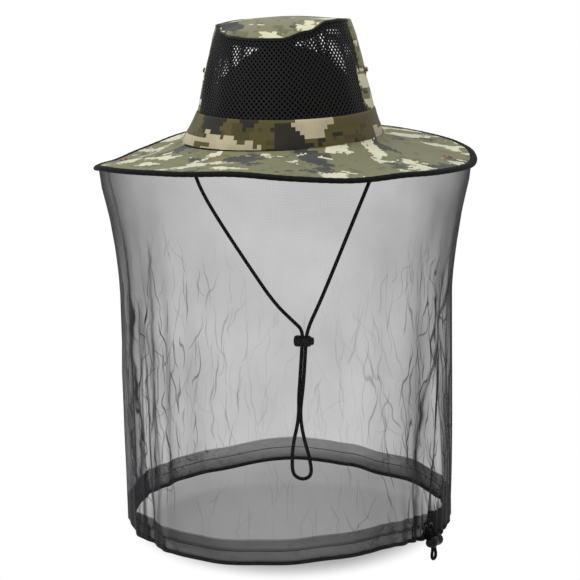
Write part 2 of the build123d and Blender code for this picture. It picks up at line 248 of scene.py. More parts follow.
def settle(piece, fades=0.06):
    """Lets the foot of a crown piece follow the seam, and presses the wall in at the left."""
    for vertex in piece.data.vertices:
        spot = vertex.co
        pressed = PRESSED_IN * max(0.0, -math.cos(angle_of(spot))) ** 1.5
        pressed *= clamp((spot.z - 0.001) / 0.026)
        spot.xy *= 1 - pressed / max(spot.xy.length, 0.045)
        if spot.z < fades:
            spot.z += seam_lift(angle_of(spot)) * (1 - max(spot.z, 0) / fades)
    return piece


sweatband = spin_strip("sweatband_cloth", [
    (0.0938, 0.0012), (0.0921, 0.0085), (0.0899, 0.0165), (0.0873, 0.0245), (0.0855, 0.0312),
    (0.0858, 0.0330), (0.0868, 0.0328), (0.0875, 0.0310), (0.0893, 0.0245), (0.0920, 0.0165),
    (0.0944, 0.0085), (0.0962, 0.0012)])
settle(sweatband)
sweatband.data.materials.append(
    woven("black sweatband cloth", tone(38, 38, 40), tone(16, 16, 18), pitch=0.0011))
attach(sweatband, "hat_and_veil")
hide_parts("sweatband")

bpy.ops.mesh.primitive_plane_add(size=1)
size_label = bpy.context.active_object
bpy.ops.object.mode_set(mode="EDIT")
bpy.ops.mesh.subdivide(number_cuts=14)
bpy.ops.object.mode_set(mode="OBJECT")
for vertex in size_label.data.vertices:
    across, up = vertex.co.x * 0.030, 0.0125 + vertex.co.y * 0.014
    inside = 0.0953 - 0.235 * up - 0.0008 + 0.0004 * math.sin(across * 260)
    vertex.co = at_turn(inside, math.pi / 2 + across / inside, up)
name_piece("size_label_tape")
thicken(size_label, 0.0004)
settle(size_label)
size_label.data.materials.append(
    woven("bare label tape", tone(205, 203, 196), tone(170, 168, 160), pitch=0.0005))
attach(size_label, "hat_and_veil")
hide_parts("size_label")

# ---------------------------------------------------------------------------------------------
# Crown mesh. Two panels of open knitted mesh go over the front and the back of the crown. The
# holes are knitted in staggered rows; each is real here, cut in a lattice that is then bent
# round the crown and drawn up to the tip seam, which rises and falls round the hat.
# ---------------------------------------------------------------------------------------------
TIP_SEAM = [(-165, 0.1135), (-150, 0.1155), (-138, 0.1085), (-125, 0.1055), (-100, 0.1038),
            (-80, 0.1038), (-60, 0.1100), (-38, 0.1185), (-25, 0.1190), (0, 0.1165),
            (45, 0.1150), (90, 0.1165), (135, 0.1150), (180, 0.1130)]
# The panels stand on the seam; flat, they are reckoned at this radius and half height.
PANEL_FOOT, PANEL_RADIUS, PANEL_HALF = 0.0042, 0.082, 0.056


def tip_seam(angle):
    return turned(TIP_SEAM, math.degrees(angle))


# Cloth on the crown is measured out flat as if it all lay at this radius.
MAP_RADIUS = 0.09


def cloth_map(piece, turn_from=-180.0):
    """A UV map in metres: once round the hat along U and up along V."""
    while piece.data.uv_layers:
        piece.data.uv_layers.remove(piece.data.uv_layers[0])
    places = piece.data.uv_layers.new(name="cloth")
    for loop in piece.data.loops:
        spot = piece.data.vertices[loop.vertex_index].co
        turn = math.degrees(angle_of(spot))
        while turn < turn_from - 0.01:
            turn += 360
        places.data[loop.index].uv = (math.radians(turn) * MAP_RADIUS, spot.z)


def knit_lattice(name, columns, rows, half_turn, middle):
    """A flat lattice of holes in staggered rows, bent round one side of the crown."""
    bpy.ops.object.select_all(action="DESELECT")
    bpy.ops.mesh.primitive_grid_add(x_subdivisions=columns, y_subdivisions=rows, size=2)
    lattice = bpy.context.active_object
    bpy.ops.object.mode_set(mode="EDIT")
    bpy.ops.mesh.select_mode(type="EDGE")
    bpy.ops.mesh.select_all(action="SELECT")
    bpy.ops.mesh.poke()
    bpy.ops.object.mode_set(mode="OBJECT")
    points = lattice.data.vertices

    def inner_straight(edge):
        a, b = (points[v].co for v in edge.vertices)
        straight = abs(a.x - b.x) < 1e-5 or abs(a.y - b.y) < 1e-5
        return straight and max(abs(a.x + b.x), abs(a.y + b.y)) / 2 < 0.9999

    # Without the grid's straight edges, slanting cells are left, in staggered rows.
    pick(lattice, "EDGE", inner_straight)
    bpy.ops.mesh.dissolve_edges(use_verts=False)
    bpy.ops.object.mode_set(mode="OBJECT")
    for point in points:
        point.co.x *= half_turn * PANEL_RADIUS
        point.co.y *= PANEL_HALF
    pick(lattice, "FACE", lambda face: len(face.vertices) == 4)
    bpy.ops.mesh.inset(thickness=0.00066, use_individual=True, use_boundary=True)
    bpy.ops.mesh.select_mode(type="VERT")
    bpy.ops.mesh.bevel(offset=0.00055, segments=1, affect="VERTICES")
    bpy.ops.object.mode_set(mode="OBJECT")
    # What lies inside a cell with cut corners is the hole.
    pick(lattice, "FACE", lambda face: len(face.vertices) == 8)
    bpy.ops.mesh.delete(type="FACE")
    bpy.ops.object.mode_set(mode="OBJECT")
    for point in points:
        turn = middle + point.co.x / PANEL_RADIUS
        share = (point.co.y / PANEL_HALF + 1) / 2
        height = PANEL_FOOT + (tip_seam(turn) - PANEL_FOOT) * share
        pleat = 0.0011 * math.sin(9 * turn + 2.2 * share) * math.sin(math.pi * share)
        dent = 0.0016 * noise.noise(Vector((math.cos(turn) * 3, math.sin(turn) * 3, share * 2)))
        radius = crown_radius(height) - 0.0006 + (pleat + dent) * math.sin(math.pi * share)
        point.co = at_turn(radius, turn, height)
    bpy.ops.object.mode_set(mode="EDIT")
    bpy.ops.mesh.select_all(action="SELECT")
    bpy.ops.mesh.normals_make_consistent(inside=False)
    bpy.ops.object.mode_set(mode="OBJECT")
    name_piece(name, 60)
    thicken(lattice, 0.0009)
    return settle(lattice)


def mottled(name, first, second, scale, detail=2.0, bump=None, gloss=None, **values):
    """A finish that clouds from one colour to the other; bump is its strength and distance."""
    material, tree, shader = start_material(name, **values)
    place = add_node(tree, "ShaderNodeTexCoord")
    cloud = clouds(tree, place.outputs["Object"], scale, detail)
    tree.links.new(mix_colours(tree, cloud, first, second), shader.inputs["Base Color"])
    if bump:
        lift = add_node(tree, "ShaderNodeBump",
                        {"Height": cloud, "Strength": bump[0], "Distance": bump[1]})
        tree.links.new(lift.outputs["Normal"], shader.inputs["Normal"])
    if gloss:
        rough = add_node(tree, "ShaderNodeMapRange",
                         {"Value": cloud, "To Min": gloss[0], "To Max": gloss[1]})
        tree.links.new(rough.outputs[0], shader.inputs["Roughness"])
    return material


mesh_cloth = mottled("black knitted mesh", tone(3, 3, 3), tone(17, 17, 15), 420.0, 3.0,
                     bump=(0.4, 0.0003), roughness=0.62, specular_ior_level=0.2)

for side, middle in (("front", -math.pi / 2), ("back", math.pi / 2)):
    crown_mesh = knit_lattice(f"crown_mesh_{side}_knit", 50, 19, math.radians(83.0), middle)
    crown_mesh.data.materials.append(mesh_cloth)
    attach(crown_mesh, "hat_and_veil")
    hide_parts(f"crown_mesh_{side}")

# ---------------------------------------------------------------------------------------------
# Crown cloth. A strip of printed cotton runs up each side between the mesh panels, a round of
# the same cloth closes the tip, and a folded band of a darker print goes round the foot. The
# print is a digital camouflage: blots of colour with edges stepped like a mosaic.
# ---------------------------------------------------------------------------------------------
camo, camo_in, camo_out = start_group(
    "digital print",
    [("Vector", "NodeSocketVector", None), ("Cell", "NodeSocketFloat", 0.0024),
     ("Blots", "NodeSocketFloat", 26.0), ("Ground", "NodeSocketColor", None),
     ("Shadow", "NodeSocketColor", None), ("Pale", "NodeSocketColor", None),
     ("Dark", "NodeSocketColor", None), ("Pale Limit", "NodeSocketFloat", 0.56),
     ("Dark Limit", "NodeSocketFloat", 0.6), ("Pale Spot", "NodeSocketVector", None),
     ("Dark Spot", "NodeSocketVector", None)],
    [("Color", "NodeSocketColor")])
steps = add_node(camo, "ShaderNodeCombineXYZ", {0: camo_in.outputs["Cell"],
                                                1: camo_in.outputs["Cell"],
                                                2: camo_in.outputs["Cell"]})
mosaic = add_node(camo, "ShaderNodeVectorMath", {0: camo_in.outputs["Vector"],
                                                 1: steps.outputs[0]}, operation="SNAP")
printed = camo_in.outputs["Ground"]
for colour, limit, shift, size, stretch, coarse in (
        ("Shadow", 0.57, (3.1, 7.7, 1.3), 2.1, (1.0, 1.7, 1.0), 0.62),
        ("Dark", "Dark Limit", (9.4, 2.2, 5.1), 0.9, (0.8, 1.5, 1.0), 0.6),
        ("Pale", "Pale Limit", (0.3, 5.9, 8.6), 1.0, (0.72, 1.6, 1.0), 0.58)):
    moved = add_node(camo, "ShaderNodeMapping", {"Vector": mosaic.outputs[0],
                                                 "Location": shift, "Scale": stretch})
    scale = reckon(camo, "MULTIPLY", camo_in.outputs["Blots"], size)
    blots = add_node(camo, "ShaderNodeTexNoise",
                     {"Vector": moved.outputs[0], "Scale": scale, "Detail": 4.0,
                      "Roughness": coarse, "Distortion": 0.3})
    ink_level = blots.outputs["Fac"]
    edge = limit
    if isinstance(limit, str):
        # Round its spot a colour comes through more easily, as one large blot.
        edge = camo_in.outputs[limit]
        away = add_node(camo, "ShaderNodeVectorMath",
                        {0: mosaic.outputs[0], 1: camo_in.outputs[f"{colour} Spot"]},
                        operation="DISTANCE")
        eased = add_node(camo, "ShaderNodeMapRange",
                         {"Value": away.outputs["Value"], "From Min": 0.008,
                          "From Max": 0.028, "To Min": 0.22, "To Max": 0.0})
        ink_level = reckon(camo, "ADD", ink_level, eased.outputs[0])
    inked = reckon(camo, "GREATER_THAN", ink_level, edge)
    printed = mix_colours(camo, inked, printed, camo_in.outputs[colour])
camo.links.new(printed, camo_out.inputs["Color"])


def printed_cloth(name, cell, blots, ground, shadow, pale, dark, limits, by="Object",
                  shift=(0, 0, 0), turn=0.0, drawn=(1, 1, 1), spots=((0, 0, 9), (0, 0, 9))):
    """Plain-woven cotton with the print on it, matt, a little rubbed from place to place."""
    material, tree, shader = start_material(name, roughness=0.82, sheen_weight=0.12,
                                            specular_ior_level=0.3)
    place = add_node(tree, "ShaderNodeTexCoord")
    lying = add_node(tree, "ShaderNodeMapping", {"Vector": place.outputs[by],
                                                 "Location": shift, "Rotation": (0, 0, turn),
                                                 "Scale": drawn})
    ink = place_group(tree, camo, {"Vector": lying.outputs[0], "Cell": cell, "Blots": blots,
                                   "Ground": ground, "Shadow": shadow, "Pale": pale,
                                   "Dark": dark, "Pale Limit": limits[0],
                                   "Dark Limit": limits[1], "Pale Spot": spots[0],
                                   "Dark Spot": spots[1]})
    cloth = place_group(tree, weave, {"Vector": place.outputs[by], "Pitch": 0.0007})
    rubbed = clouds(tree, place.outputs["Object"], 38.0, 5.0)
    uneven = reckon(tree, "MULTIPLY", rubbed, cloth.outputs["Fleck"])
    faded = add_node(tree, "ShaderNodeMapRange", {"Value": uneven, "From Min": 0.12,
                                                  "From Max": 0.4, "To Min": 0.0,
                                                  "To Max": 0.3})
    tree.links.new(mix_colours(tree, faded.outputs[0], ink.outputs[0], shadow),
                   shader.inputs["Base Color"])
    crumple = clouds(tree, place.outputs["Object"], 70.0, 3.0)
    soft = add_node(tree, "ShaderNodeBump",
                    {"Height": crumple, "Strength": 0.25, "Distance": 0.002})
    lift = add_node(tree, "ShaderNodeBump",
                    {"Height": cloth.outputs["Height"], "Strength": 0.3, "Distance": 0.0002,
                     "Normal": soft.outputs["Normal"]})
    tree.links.new(lift.outputs["Normal"], shader.inputs["Normal"])
    return material


OLIVE, DEEP_OLIVE = tone(128, 128, 92), tone(98, 99, 68)
CREAM, CHARCOAL = tone(226, 223, 192), tone(58, 58, 64)
crown_print = printed_cloth("crown camouflage cloth", 0.0027, 24.0, OLIVE, DEEP_OLIVE, CREAM,
                            CHARCOAL, (0.555, 0.575), by="UV")
band_print = printed_cloth("band camouflage cloth", 0.0038, 17.0, tone(84, 76, 40),
                           tone(68, 62, 32), tone(192, 182, 152), tone(22, 22, 20),
                           (0.60, 0.63), by="UV", spots=((-0.1015, 0.022, 0),
                                                         (-0.1265, 0.012, 0)))
tip_print = printed_cloth("tip camouflage cloth", 0.0025, 30.0, tone(126, 124, 94),
                          tone(102, 100, 72), CREAM, CHARCOAL, (0.56, 0.56), turn=0.25,
                          drawn=(1, 0.5, 1))
STRIP_WIDTH = 0.0405
for side, middle in (("left", math.pi), ("right", 0.0)):
    bpy.ops.object.select_all(action="DESELECT")
    bpy.ops.mesh.primitive_grid_add(x_subdivisions=16, y_subdivisions=56, size=1)
    crown_strip = bpy.context.active_object
    for vertex in crown_strip.data.vertices:
        share = vertex.co.y + 0.5
        across = vertex.co.x * STRIP_WIDTH
        top = tip_seam(middle + across / 0.070)
        height = PANEL_FOOT + (top + 0.0004 - PANEL_FOOT) * share
        radius = crown_radius(height)
        turn = middle + across / radius
        # The strip's edges are tucked under the mesh.
        tucked = 0.0024 * clamp((abs(across) / radius - 0.120) / 0.035)
        ease = 0.0011 * noise.noise(Vector((across * 60, share * 4, middle)))
        radius += 0.0003 - tucked + ease * math.sin(math.pi * share)
        vertex.co = at_turn(radius, turn, height)
    name_piece(f"crown_strip_{side}_cloth", 50)
    thicken(crown_strip, 0.0009, offset=1)
    settle(crown_strip)
    cloth_map(crown_strip, math.degrees(middle) - 90)
    crown_strip.data.materials.append(crown_print)
    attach(crown_strip, "hat_and_veil")
    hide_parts(f"crown_strip_{side}")

hat_band = spin_strip("hat_band_cloth", [
    (0.0968, 0.0020), (0.0968, 0.0120), (0.0947, 0.0180), (0.0926, 0.0240), (0.0906, 0.0295),
    (0.0907, 0.0308), (0.0915, 0.0312), (0.0922, 0.0303), (0.0931, 0.0285), (0.0942, 0.0240),
    (0.0959, 0.0180), (0.0982, 0.0115), (0.1001, 0.0060), (0.1005, 0.0022), (0.0990, 0.0012)],
    steps=240)
for vertex in hat_band.data.vertices:
    turn = angle_of(vertex.co)
    lift = vertex.co.z / 0.031
    outward = at_turn(1, turn, 0)
    vertex.co += outward * 0.0007 * noise.noise(Vector((outward.x * 5, outward.y * 5, lift)))
    vertex.co.z += lift * (0.0009 * math.sin(2 * turn + 0.6) - 0.0012)
cloth_map(hat_band, -270)
settle(hat_band)
hat_band.data.materials.append(band_print)
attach(hat_band, "hat_and_veil")
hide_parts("hat_band")

# The tip is drawn down at the front, where its seam is low, and is domed in the middle.
TIP_RADIUS, TIP_MIDDLE = 0.0701, 0.1192
crown_tip = spin_strip("crown_tip_cloth", [(TIP_RADIUS * step / 16, 0) for step in range(17)],
                       steps=144, closed=False, smooth=50)
for vertex in crown_tip.data.vertices:
    turn = angle_of(vertex.co)
    out = math.hypot(vertex.co.x, vertex.co.y) / TIP_RADIUS
    rim = tip_seam(turn)
    edge = crown_radius(rim) + 0.0003
    dome = TIP_MIDDLE + 0.0008 * noise.noise(Vector((vertex.co.x * 40, vertex.co.y * 40, 0)))
    share = out ** 2.6
    vertex.co = at_turn(edge * out, turn, dome * (1 - share) + rim * share)
thicken(crown_tip, 0.0009)
settle(crown_tip)
crown_tip.data.materials.append(tip_print)
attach(crown_tip, "hat_and_veil")
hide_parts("crown_tip")

# Tape over the tip seam inside, and a narrow welt on it outside.
TAPE_RADIUS = 0.0698
black_tape = woven("black seam tape", tone(34, 34, 32), tone(14, 14, 13), pitch=0.0009)
for name, node, slot, section in (
        ("seam_tape_cloth", "seam_tape", "tape",
         ((-0.0022, -0.0010), (-0.0014, -0.0010), (-0.0008, -0.0080), (-0.0012, -0.0086),
          (-0.0018, -0.0080))),
        ("tip_welt", None, "tape",
         ((0.0002, 0.0008), (0.0010, 0.0005), (0.0013, -0.0004), (0.0010, -0.0013),
          (0.0002, -0.0016)))):
    seam_tape = spin_strip(name, [(TAPE_RADIUS + out, 0.1 + up) for out, up in section],
                           steps=160)
    for vertex in seam_tape.data.vertices:
        turn = angle_of(vertex.co)
        rim = tip_seam(turn)
        out = math.hypot(vertex.co.x, vertex.co.y) - TAPE_RADIUS + crown_radius(rim)
        vertex.co = at_turn(out, turn, vertex.co.z - 0.1 + rim)
    settle(seam_tape)
    seam_tape.data.materials.append(black_tape)
    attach(seam_tape, "hat_and_veil")
    if node:
        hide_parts(node)

# The lining cap inside stands on the sweatband: black cloth in a smooth dome.
inner_cap = spin_strip("inner_cap_lining", [
    (0.0865, 0.0322), (0.0838, 0.0380), (0.0800, 0.0440), (0.0752, 0.0505), (0.0695, 0.0570),
    (0.0628, 0.0640), (0.0555, 0.0705), (0.0470, 0.0775), (0.0375, 0.0838), (0.0270, 0.0888),
    (0.0155, 0.0915), (0.0060, 0.0924), (0.0, 0.0925)], steps=144, closed=False, smooth=60)
for vertex in inner_cap.data.vertices:
    vertex.co *= 1 + 0.006 * noise.noise(vertex.co * 45)
thicken(inner_cap, 0.0008)
settle(inner_cap)
inner_cap.data.materials.append(
    woven("black lining", tone(17, 17, 17), tone(6, 6, 6), pitch=0.0005, sheen=0.05))
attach(inner_cap, "hat_and_veil")
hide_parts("inner_cap")

# ---------------------------------------------------------------------------------------------
# Brim. Two rounds of the printed cloth with a stiffening sheet between them, kept round by a
# springy hoop whose ends meet in a crimped sleeve, and bound at the rim with black bias tape.
# It is soft, so the rim rises and falls, and the cloth lies in shallow waves between.
# ---------------------------------------------------------------------------------------------
RIM_HEIGHT = [(-165, -0.0235), (-150, -0.0172), (-135, -0.0140), (-120, -0.0117),
              (-105, -0.0098), (-90, -0.0088), (-75, -0.0142), (-60, -0.0182),
              (-45, -0.0168), (-30, -0.0200), (-15, -0.0222), (0, -0.0235), (15, -0.0182),
              (30, -0.0160), (45, -0.0135), (60, -0.0095), (90, -0.0060), (120, -0.0070),
              (135, -0.0120), (150, -0.0215), (165, -0.0285), (180, -0.0270)]
BRIM_START, BRIM_RIM = 0.0966, 0.1900


def rim_height(turn):
    """The rim's height, eased between its points so that no kink is left in the cloth."""
    spread = [turned(RIM_HEIGHT, math.degrees(turn) + step) for step in (-9, -4.5, 0, 4.5, 9)]
    return (spread[0] + 2 * spread[1] + 3 * spread[2] + 2 * spread[3] + spread[4]) / 9


def pushed_in(turn):
    """How far the rim, and the net that hangs from it, are pushed in at the left."""
    return 0.0042 * max(0.0, -math.cos(turn)) ** 3


def brim_height(turn, radius):
    """Height of the middle of the brim: it leaves the crown steeply and flattens outwards."""
    out = (radius - BRIM_START) / (BRIM_RIM - BRIM_START)
    seam = seam_lift(turn) - 0.0004
    fall = 1 - (1 - min(max(out, 0), 1)) ** 1.6 + max(out - 1, 0) * 0.6
    ripple = 0.0013 * math.sin(5 * turn + 1.0 + 2.5 * out) * math.sin(math.pi * min(out, 1))
    ripple += 0.0008 * noise.noise(at_turn(4, turn, out * 3))
    return seam + (rim_height(turn) - seam) * fall + ripple * clamp(out * 4)


def on_brim(piece):
    """Lays a piece made about a level brim onto the real one, which waves."""
    for vertex in piece.data.vertices:
        radius = math.hypot(vertex.co.x, vertex.co.y)
        turn = angle_of(vertex.co)
        vertex.co.z += brim_height(turn, radius)
        inward = pushed_in(turn) * max(0.0, (radius - 0.12) / 0.07)
        vertex.co.xy *= 1 - inward / radius
    return piece


brim_print = printed_cloth("brim camouflage cloth", 0.0020, 31.0, tone(117, 117, 85),
                           tone(98, 99, 69), tone(224, 221, 194), tone(44, 44, 48),
                           (0.568, 0.565), shift=(0.01, 0.0, 0.0), drawn=(1, 0.55, 0.8))
lining_print = printed_cloth("brim lining cloth", 0.0020, 27.0, tone(120, 120, 88),
                             tone(98, 99, 68), CREAM, CHARCOAL, (0.56, 0.57),
                             shift=(0.4, 0.2, 0.0), drawn=(1, 0.55, 0.8))
white_sheet = woven("white stiffening sheet", tone(232, 232, 228), tone(206, 206, 202),
                    pitch=0.0015, sheen=0.0, bump=0.15)
for name, node, slot, low, high, material in (
        ("brim_top_camouflage", "brim_top_cloth", "camo_cloth", 0.0010, 0.0018, brim_print),
        ("brim_stiffening_sheet", "brim_stiffener", "stiffener", -0.0006, 0.0006, white_sheet),
        ("brim_under_camouflage", "brim_under_cloth", "camo_cloth", -0.0018, -0.0010,
         lining_print)):
    start = {"brim_top_cloth": 0.0976, "brim_stiffener": 0.1000}.get(node, BRIM_START)
    under = [(start + (BRIM_RIM - 0.0006 - start) * step / 26, low) for step in range(27)]
    over = [(radius, high) for radius, _ in reversed(under)]
    brim_layer = on_brim(spin_strip(name, under + over, steps=240))
    if node == "brim_top_cloth":
        # The top cloth turns up against the crown, more at the side where the seam is high.
        for vertex in brim_layer.data.vertices:
            radius = math.hypot(vertex.co.x, vertex.co.y)
            turn = angle_of(vertex.co)
            curl = max(0.0, 1 - (radius - start) / 0.0085)
            vertex.co.z += curl ** 2 * (0.0042 + 0.0038 * math.cos(turn - 0.3))
    brim_layer.data.materials.append(material)
    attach(brim_layer, "hat_and_veil")
    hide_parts(node)

hoop_plastic = mottled("milky hoop plastic", tone(206, 206, 204), tone(236, 236, 234), 90.0,
                       roughness=0.35)
brim_boning = spin_strip("brim_hoop", [
    (0.1902, -0.0004), (0.1904, -0.0006), (0.1918, -0.0006), (0.1920, -0.0004),
    (0.1920, 0.0004), (0.1918, 0.0006), (0.1904, 0.0006), (0.1902, 0.0004)], steps=240)
on_brim(brim_boning)
brim_boning.data.materials.append(hoop_plastic)
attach(brim_boning, "hat_and_veil")
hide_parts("brim_boning")

HOOP_RADIUS = 0.1911
tin = mottled("crimped tin", tone(150, 150, 152), tone(205, 205, 206), 300.0, 3.0,
              metallic=1.0, roughness=0.35)
bpy.ops.object.select_all(action="DESELECT")
bpy.ops.mesh.primitive_grid_add(x_subdivisions=20, y_subdivisions=12, size=1)
boning_sleeve = bpy.context.active_object
for vertex in boning_sleeve.data.vertices:
    # Rolled to a flat tube and pinched in two places, where the crimping tool bit.
    along, round_it = vertex.co.x * 0.020, vertex.co.y * 2 * math.pi
    pinch = 1 - 0.22 * math.exp(-((abs(along) - 0.005) / 0.0013) ** 2)
    radius = HOOP_RADIUS + 0.00125 * math.cos(round_it)
    vertex.co = at_turn(radius, math.pi / 2 + along / HOOP_RADIUS,
                        0.00105 * pinch * math.sin(round_it))
bpy.ops.object.mode_set(mode="EDIT")
bpy.ops.mesh.select_all(action="SELECT")
bpy.ops.mesh.remove_doubles(threshold=1e-6)
bpy.ops.mesh.normals_make_consistent(inside=False)
bpy.ops.object.mode_set(mode="OBJECT")
name_piece("hoop_sleeve", 50)
thicken(boning_sleeve, 0.0003, offset=1)
on_brim(boning_sleeve)
boning_sleeve.data.materials.append(tin)
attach(boning_sleeve, "hat_and_veil")
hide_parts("boning_sleeve")

# The binding is folded over the edge and stitched through, close to its own edges.
bias_tape = woven("black bias tape", tone(11, 11, 11), tone(4, 4, 4), pitch=0.0010,
                  sheen=0.0, bump=0.5)
brim_binding = spin_strip("brim_binding_tape", [
    (0.1862, 0.0018), (0.1867, 0.0022), (0.1880, 0.0024), (0.1899, 0.0024), (0.1916, 0.0021),
    (0.1929, 0.0013), (0.1935, 0.0000), (0.1929, -0.0014), (0.1916, -0.0022),
    (0.1899, -0.0025), (0.1880, -0.0025), (0.1867, -0.0023), (0.1862, -0.0019),
    (0.1880, -0.0020), (0.1899, -0.0020), (0.1918, -0.0013), (0.1925, 0.0000),
    (0.1918, 0.0013), (0.1899, 0.0019), (0.1880, 0.0019)], steps=360, smooth=60)
for vertex in brim_binding.data.vertices:
    # The stitches pucker the tape a little.
    pucker = 0.00012 * math.sin(230 * angle_of(vertex.co))
    vertex.co.z += pucker if vertex.co.z > 0 else -pucker
on_brim(brim_binding)
brim_binding.data.materials.append(bias_tape)
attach(brim_binding, "hat_and_veil")
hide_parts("brim_binding")

# A thin black ring of tape along the seam between crown and brim is painted shade: the dark
# line of shadow in the seam's crease.
foot_shade_ring = spin_strip("crown_foot_shade_ring", [
    (0.1004 + 0.0008 * math.cos(math.radians(step * 45)),
     0.0029 + 0.0008 * math.sin(math.radians(step * 45))) for step in range(8)], steps=240,
    smooth=80)
for vertex in foot_shade_ring.data.vertices:
    radius = math.hypot(vertex.co.x, vertex.co.y)
    vertex.co.z += brim_height(angle_of(vertex.co), radius)
settle(foot_shade_ring, fades=0.0001)
foot_shade_ring.data.materials.append(bias_tape)
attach(foot_shade_ring, "hat_and_veil")

# ---------------------------------------------------------------------------------------------
# Snaps. Pressed brass caps, darkened: one on each side of the brim with its socket below, and
# a stud on each side of the crown that the brim can be snapped up to.
# ---------------------------------------------------------------------------------------------
brass = mottled("darkened brass", tone(62, 40, 32), tone(168, 118, 98), 500.0, 4.0,
                bump=(0.2, 0.0001), metallic=0.85, roughness=0.38)

SNAP_CAP = [(0.0, 0.0019), (0.0016, 0.0018), (0.0031, 0.0015), (0.0040, 0.0010),
            (0.0045, 0.0004), (0.0046, 0.0000), (0.0042, -0.0001), (0.0015, -0.0001),
            (0.0015, -0.0036), (0.0, -0.0036)]
SNAP_SOCKET = [(0.0016, 0.0), (0.0046, 0.0), (0.0047, -0.0006), (0.0042, -0.0012),
               (0.0036, -0.0015), (0.0034, -0.0022), (0.0030, -0.0025), (0.0027, -0.0022),
               (0.0026, -0.0010), (0.0016, -0.0009)]
SNAP_STUD = [(0.0, 0.0030), (0.0017, 0.0030), (0.0025, 0.0025), (0.0026, 0.0020),
             (0.0021, 0.0013), (0.0022, 0.0008), (0.0040, 0.0007), (0.0043, 0.0002),
             (0.0042, 0.0), (0.0015, 0.0), (0.0015, -0.0022), (0.0041, -0.0022),
             (0.0041, -0.0027), (0.0, -0.0027)]
SNAP_OUT, STUD_HEIGHT = 0.165, 0.068
for side, sign in (("left", -1), ("right", 1)):
    turn = 0.0 if sign > 0 else math.pi
    at = brim_height(turn, SNAP_OUT)
    rise = brim_height(turn, SNAP_OUT + 0.004) - brim_height(turn, SNAP_OUT - 0.004)
    on_cloth = Matrix.Rotation(-sign * math.atan2(rise, 0.008), 4, "Y")
    # At the left the stud sits on the wall where it is pressed in.
    stud_out = crown_radius(STUD_HEIGHT) + 0.0016 if sign > 0 else (
        0.0052 - crown_radius(STUD_HEIGHT))
    for name, node, outline, place, tilt in (
            ("brim_snap_cap", "brim_snap", SNAP_CAP, (sign * SNAP_OUT, 0, at + 0.0020),
             on_cloth),
            ("brim_snap_socket", "snap_socket", SNAP_SOCKET,
             (sign * SNAP_OUT, 0, at - 0.0021), on_cloth),
            ("crown_snap_stud", "crown_stud", SNAP_STUD, (stud_out, 0, STUD_HEIGHT),
             Matrix.Rotation(sign * math.radians(75.7), 4, "Y"))):
        snap = spin_strip(f"{name}_{side}", outline, steps=32, smooth=35,
                          closed=outline is SNAP_SOCKET)
        snap.data.transform(Matrix.Translation(place) @ tilt)
        snap.data.materials.append(brass)
        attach(snap, "hat_and_veil")
        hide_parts(f"{node}_{side}")

# ---------------------------------------------------------------------------------------------
# Veil. Front and back panels of fine black netting hang from the brim and meet in narrow side
# seams; a hemmed band of the same net closes the foot. All are grids bent round the hat, and
# their folds are moves of vertices that grow from the brim towards the hem.
# ---------------------------------------------------------------------------------------------
# The net's fall, as heights and the radius there; the hem's waves, in degrees and millimetres.
FALL = [(-0.020, 0.1885), (-0.042, 0.1855), (-0.057, 0.1818), (-0.073, 0.1780),
        (-0.088, 0.1753), (-0.103, 0.1726), (-0.119, 0.1704), (-0.134, 0.1686),
        (-0.150, 0.1674), (-0.197, 0.1672), (-0.392, 0.1665)]
HEM_LINE = [(-150, -7), (-131, -9), (-110, -8), (-84, -5.5), (-65, -2.5), (-48, -1), (-41, -2.5),
            (-28, -6), (-10, -9), (10, -11), (27, -13), (42, -11), (63, -12), (76, -7),
            (100, -3), (129, -8), (152, -8), (174, -8)]
HEM_LEVEL = -0.384
UNDER_BINDING = 0.0014
GATHER_AT = math.radians(-26)
# Heavy folds: width in degrees, middle at the top and at the foot, depth, where each starts.
FOLDS = [(3.2, -150, -146, 0.0030, 0.15), (2.4, -141, -137, -0.0034, 0.30),
         (2.2, -131, -128, 0.0022, 0.45), (3.0, 151, 155, -0.0032, 0.30),
         (2.6, 164, 166, 0.0030, 0.40), (2.4, -5, -24, -0.0036, 0.20),
         (2.0, -12, -27, 0.0034, 0.35), (2.4, -22, -33, -0.0028, 0.50),
         (2.6, 26, 2, -0.0030, 0.35), (2.2, 44, 24, 0.0026, 0.55),
         (2.6, -172, -166, 0.0024, 0.35)]


def hem_drop(turn):
    return HEM_LEVEL + turned(HEM_LINE, math.degrees(turn)) / 1000


def fold(turn, share, wide, middle, foot_middle, depth, starts):
    """One heavy fold, which leans from its middle at the top to another at the foot."""
    sway = 1.6 * noise.noise(Vector((middle, share * 6, 0)))
    line = math.radians(middle + (foot_middle - middle) * share + sway)
    off = math.remainder(turn - line, 2 * math.pi) / math.radians(wide)
    return depth * math.exp(-off * off) * clamp((share - starts) / 0.22)


def veil_spot(turn, share):
    """Where the net lies: share runs from 0 under the brim to 1 at the foot of the hem."""
    top = rim_height(turn) - UNDER_BINDING
    height = top + (hem_drop(turn) - top) * share
    radius = FALL[-1][1]
    for (high, wide), (low, narrow) in zip(FALL, FALL[1:]):
        if height >= low:
            radius = wide + (narrow - wide) * clamp((high - height) / (high - low))
            break
    radius -= pushed_in(turn) * max(0.0, 1 - share * 3)
    free = math.sin(math.pi * min(share, 0.985)) * 0.6 + 0.4 * share
    waves = 0.0016 * math.sin(7 * turn + 0.8 + 1.3 * share)
    waves += 0.0010 * math.sin(17 * turn + 2.0 - 2.0 * share)
    waves += 0.0022 * noise.noise(at_turn(7, turn, share * 1.6))
    radius += waves * min(1.0, share * 5) * free
    for heavy_fold in FOLDS:
        radius += fold(turn, share, *heavy_fold)
    # Where the drawstring comes out the net is gathered towards its eyelets.
    off = math.remainder(turn - GATHER_AT, 2 * math.pi)
    near = math.exp(-(off / 0.30) ** 2) * max(0.0, (share - 0.78) / 0.22) ** 1.5
    turn -= off * 0.40 * near
    radius += near * 0.0026 * math.sin(64 * off)
    return at_turn(radius, turn, height)


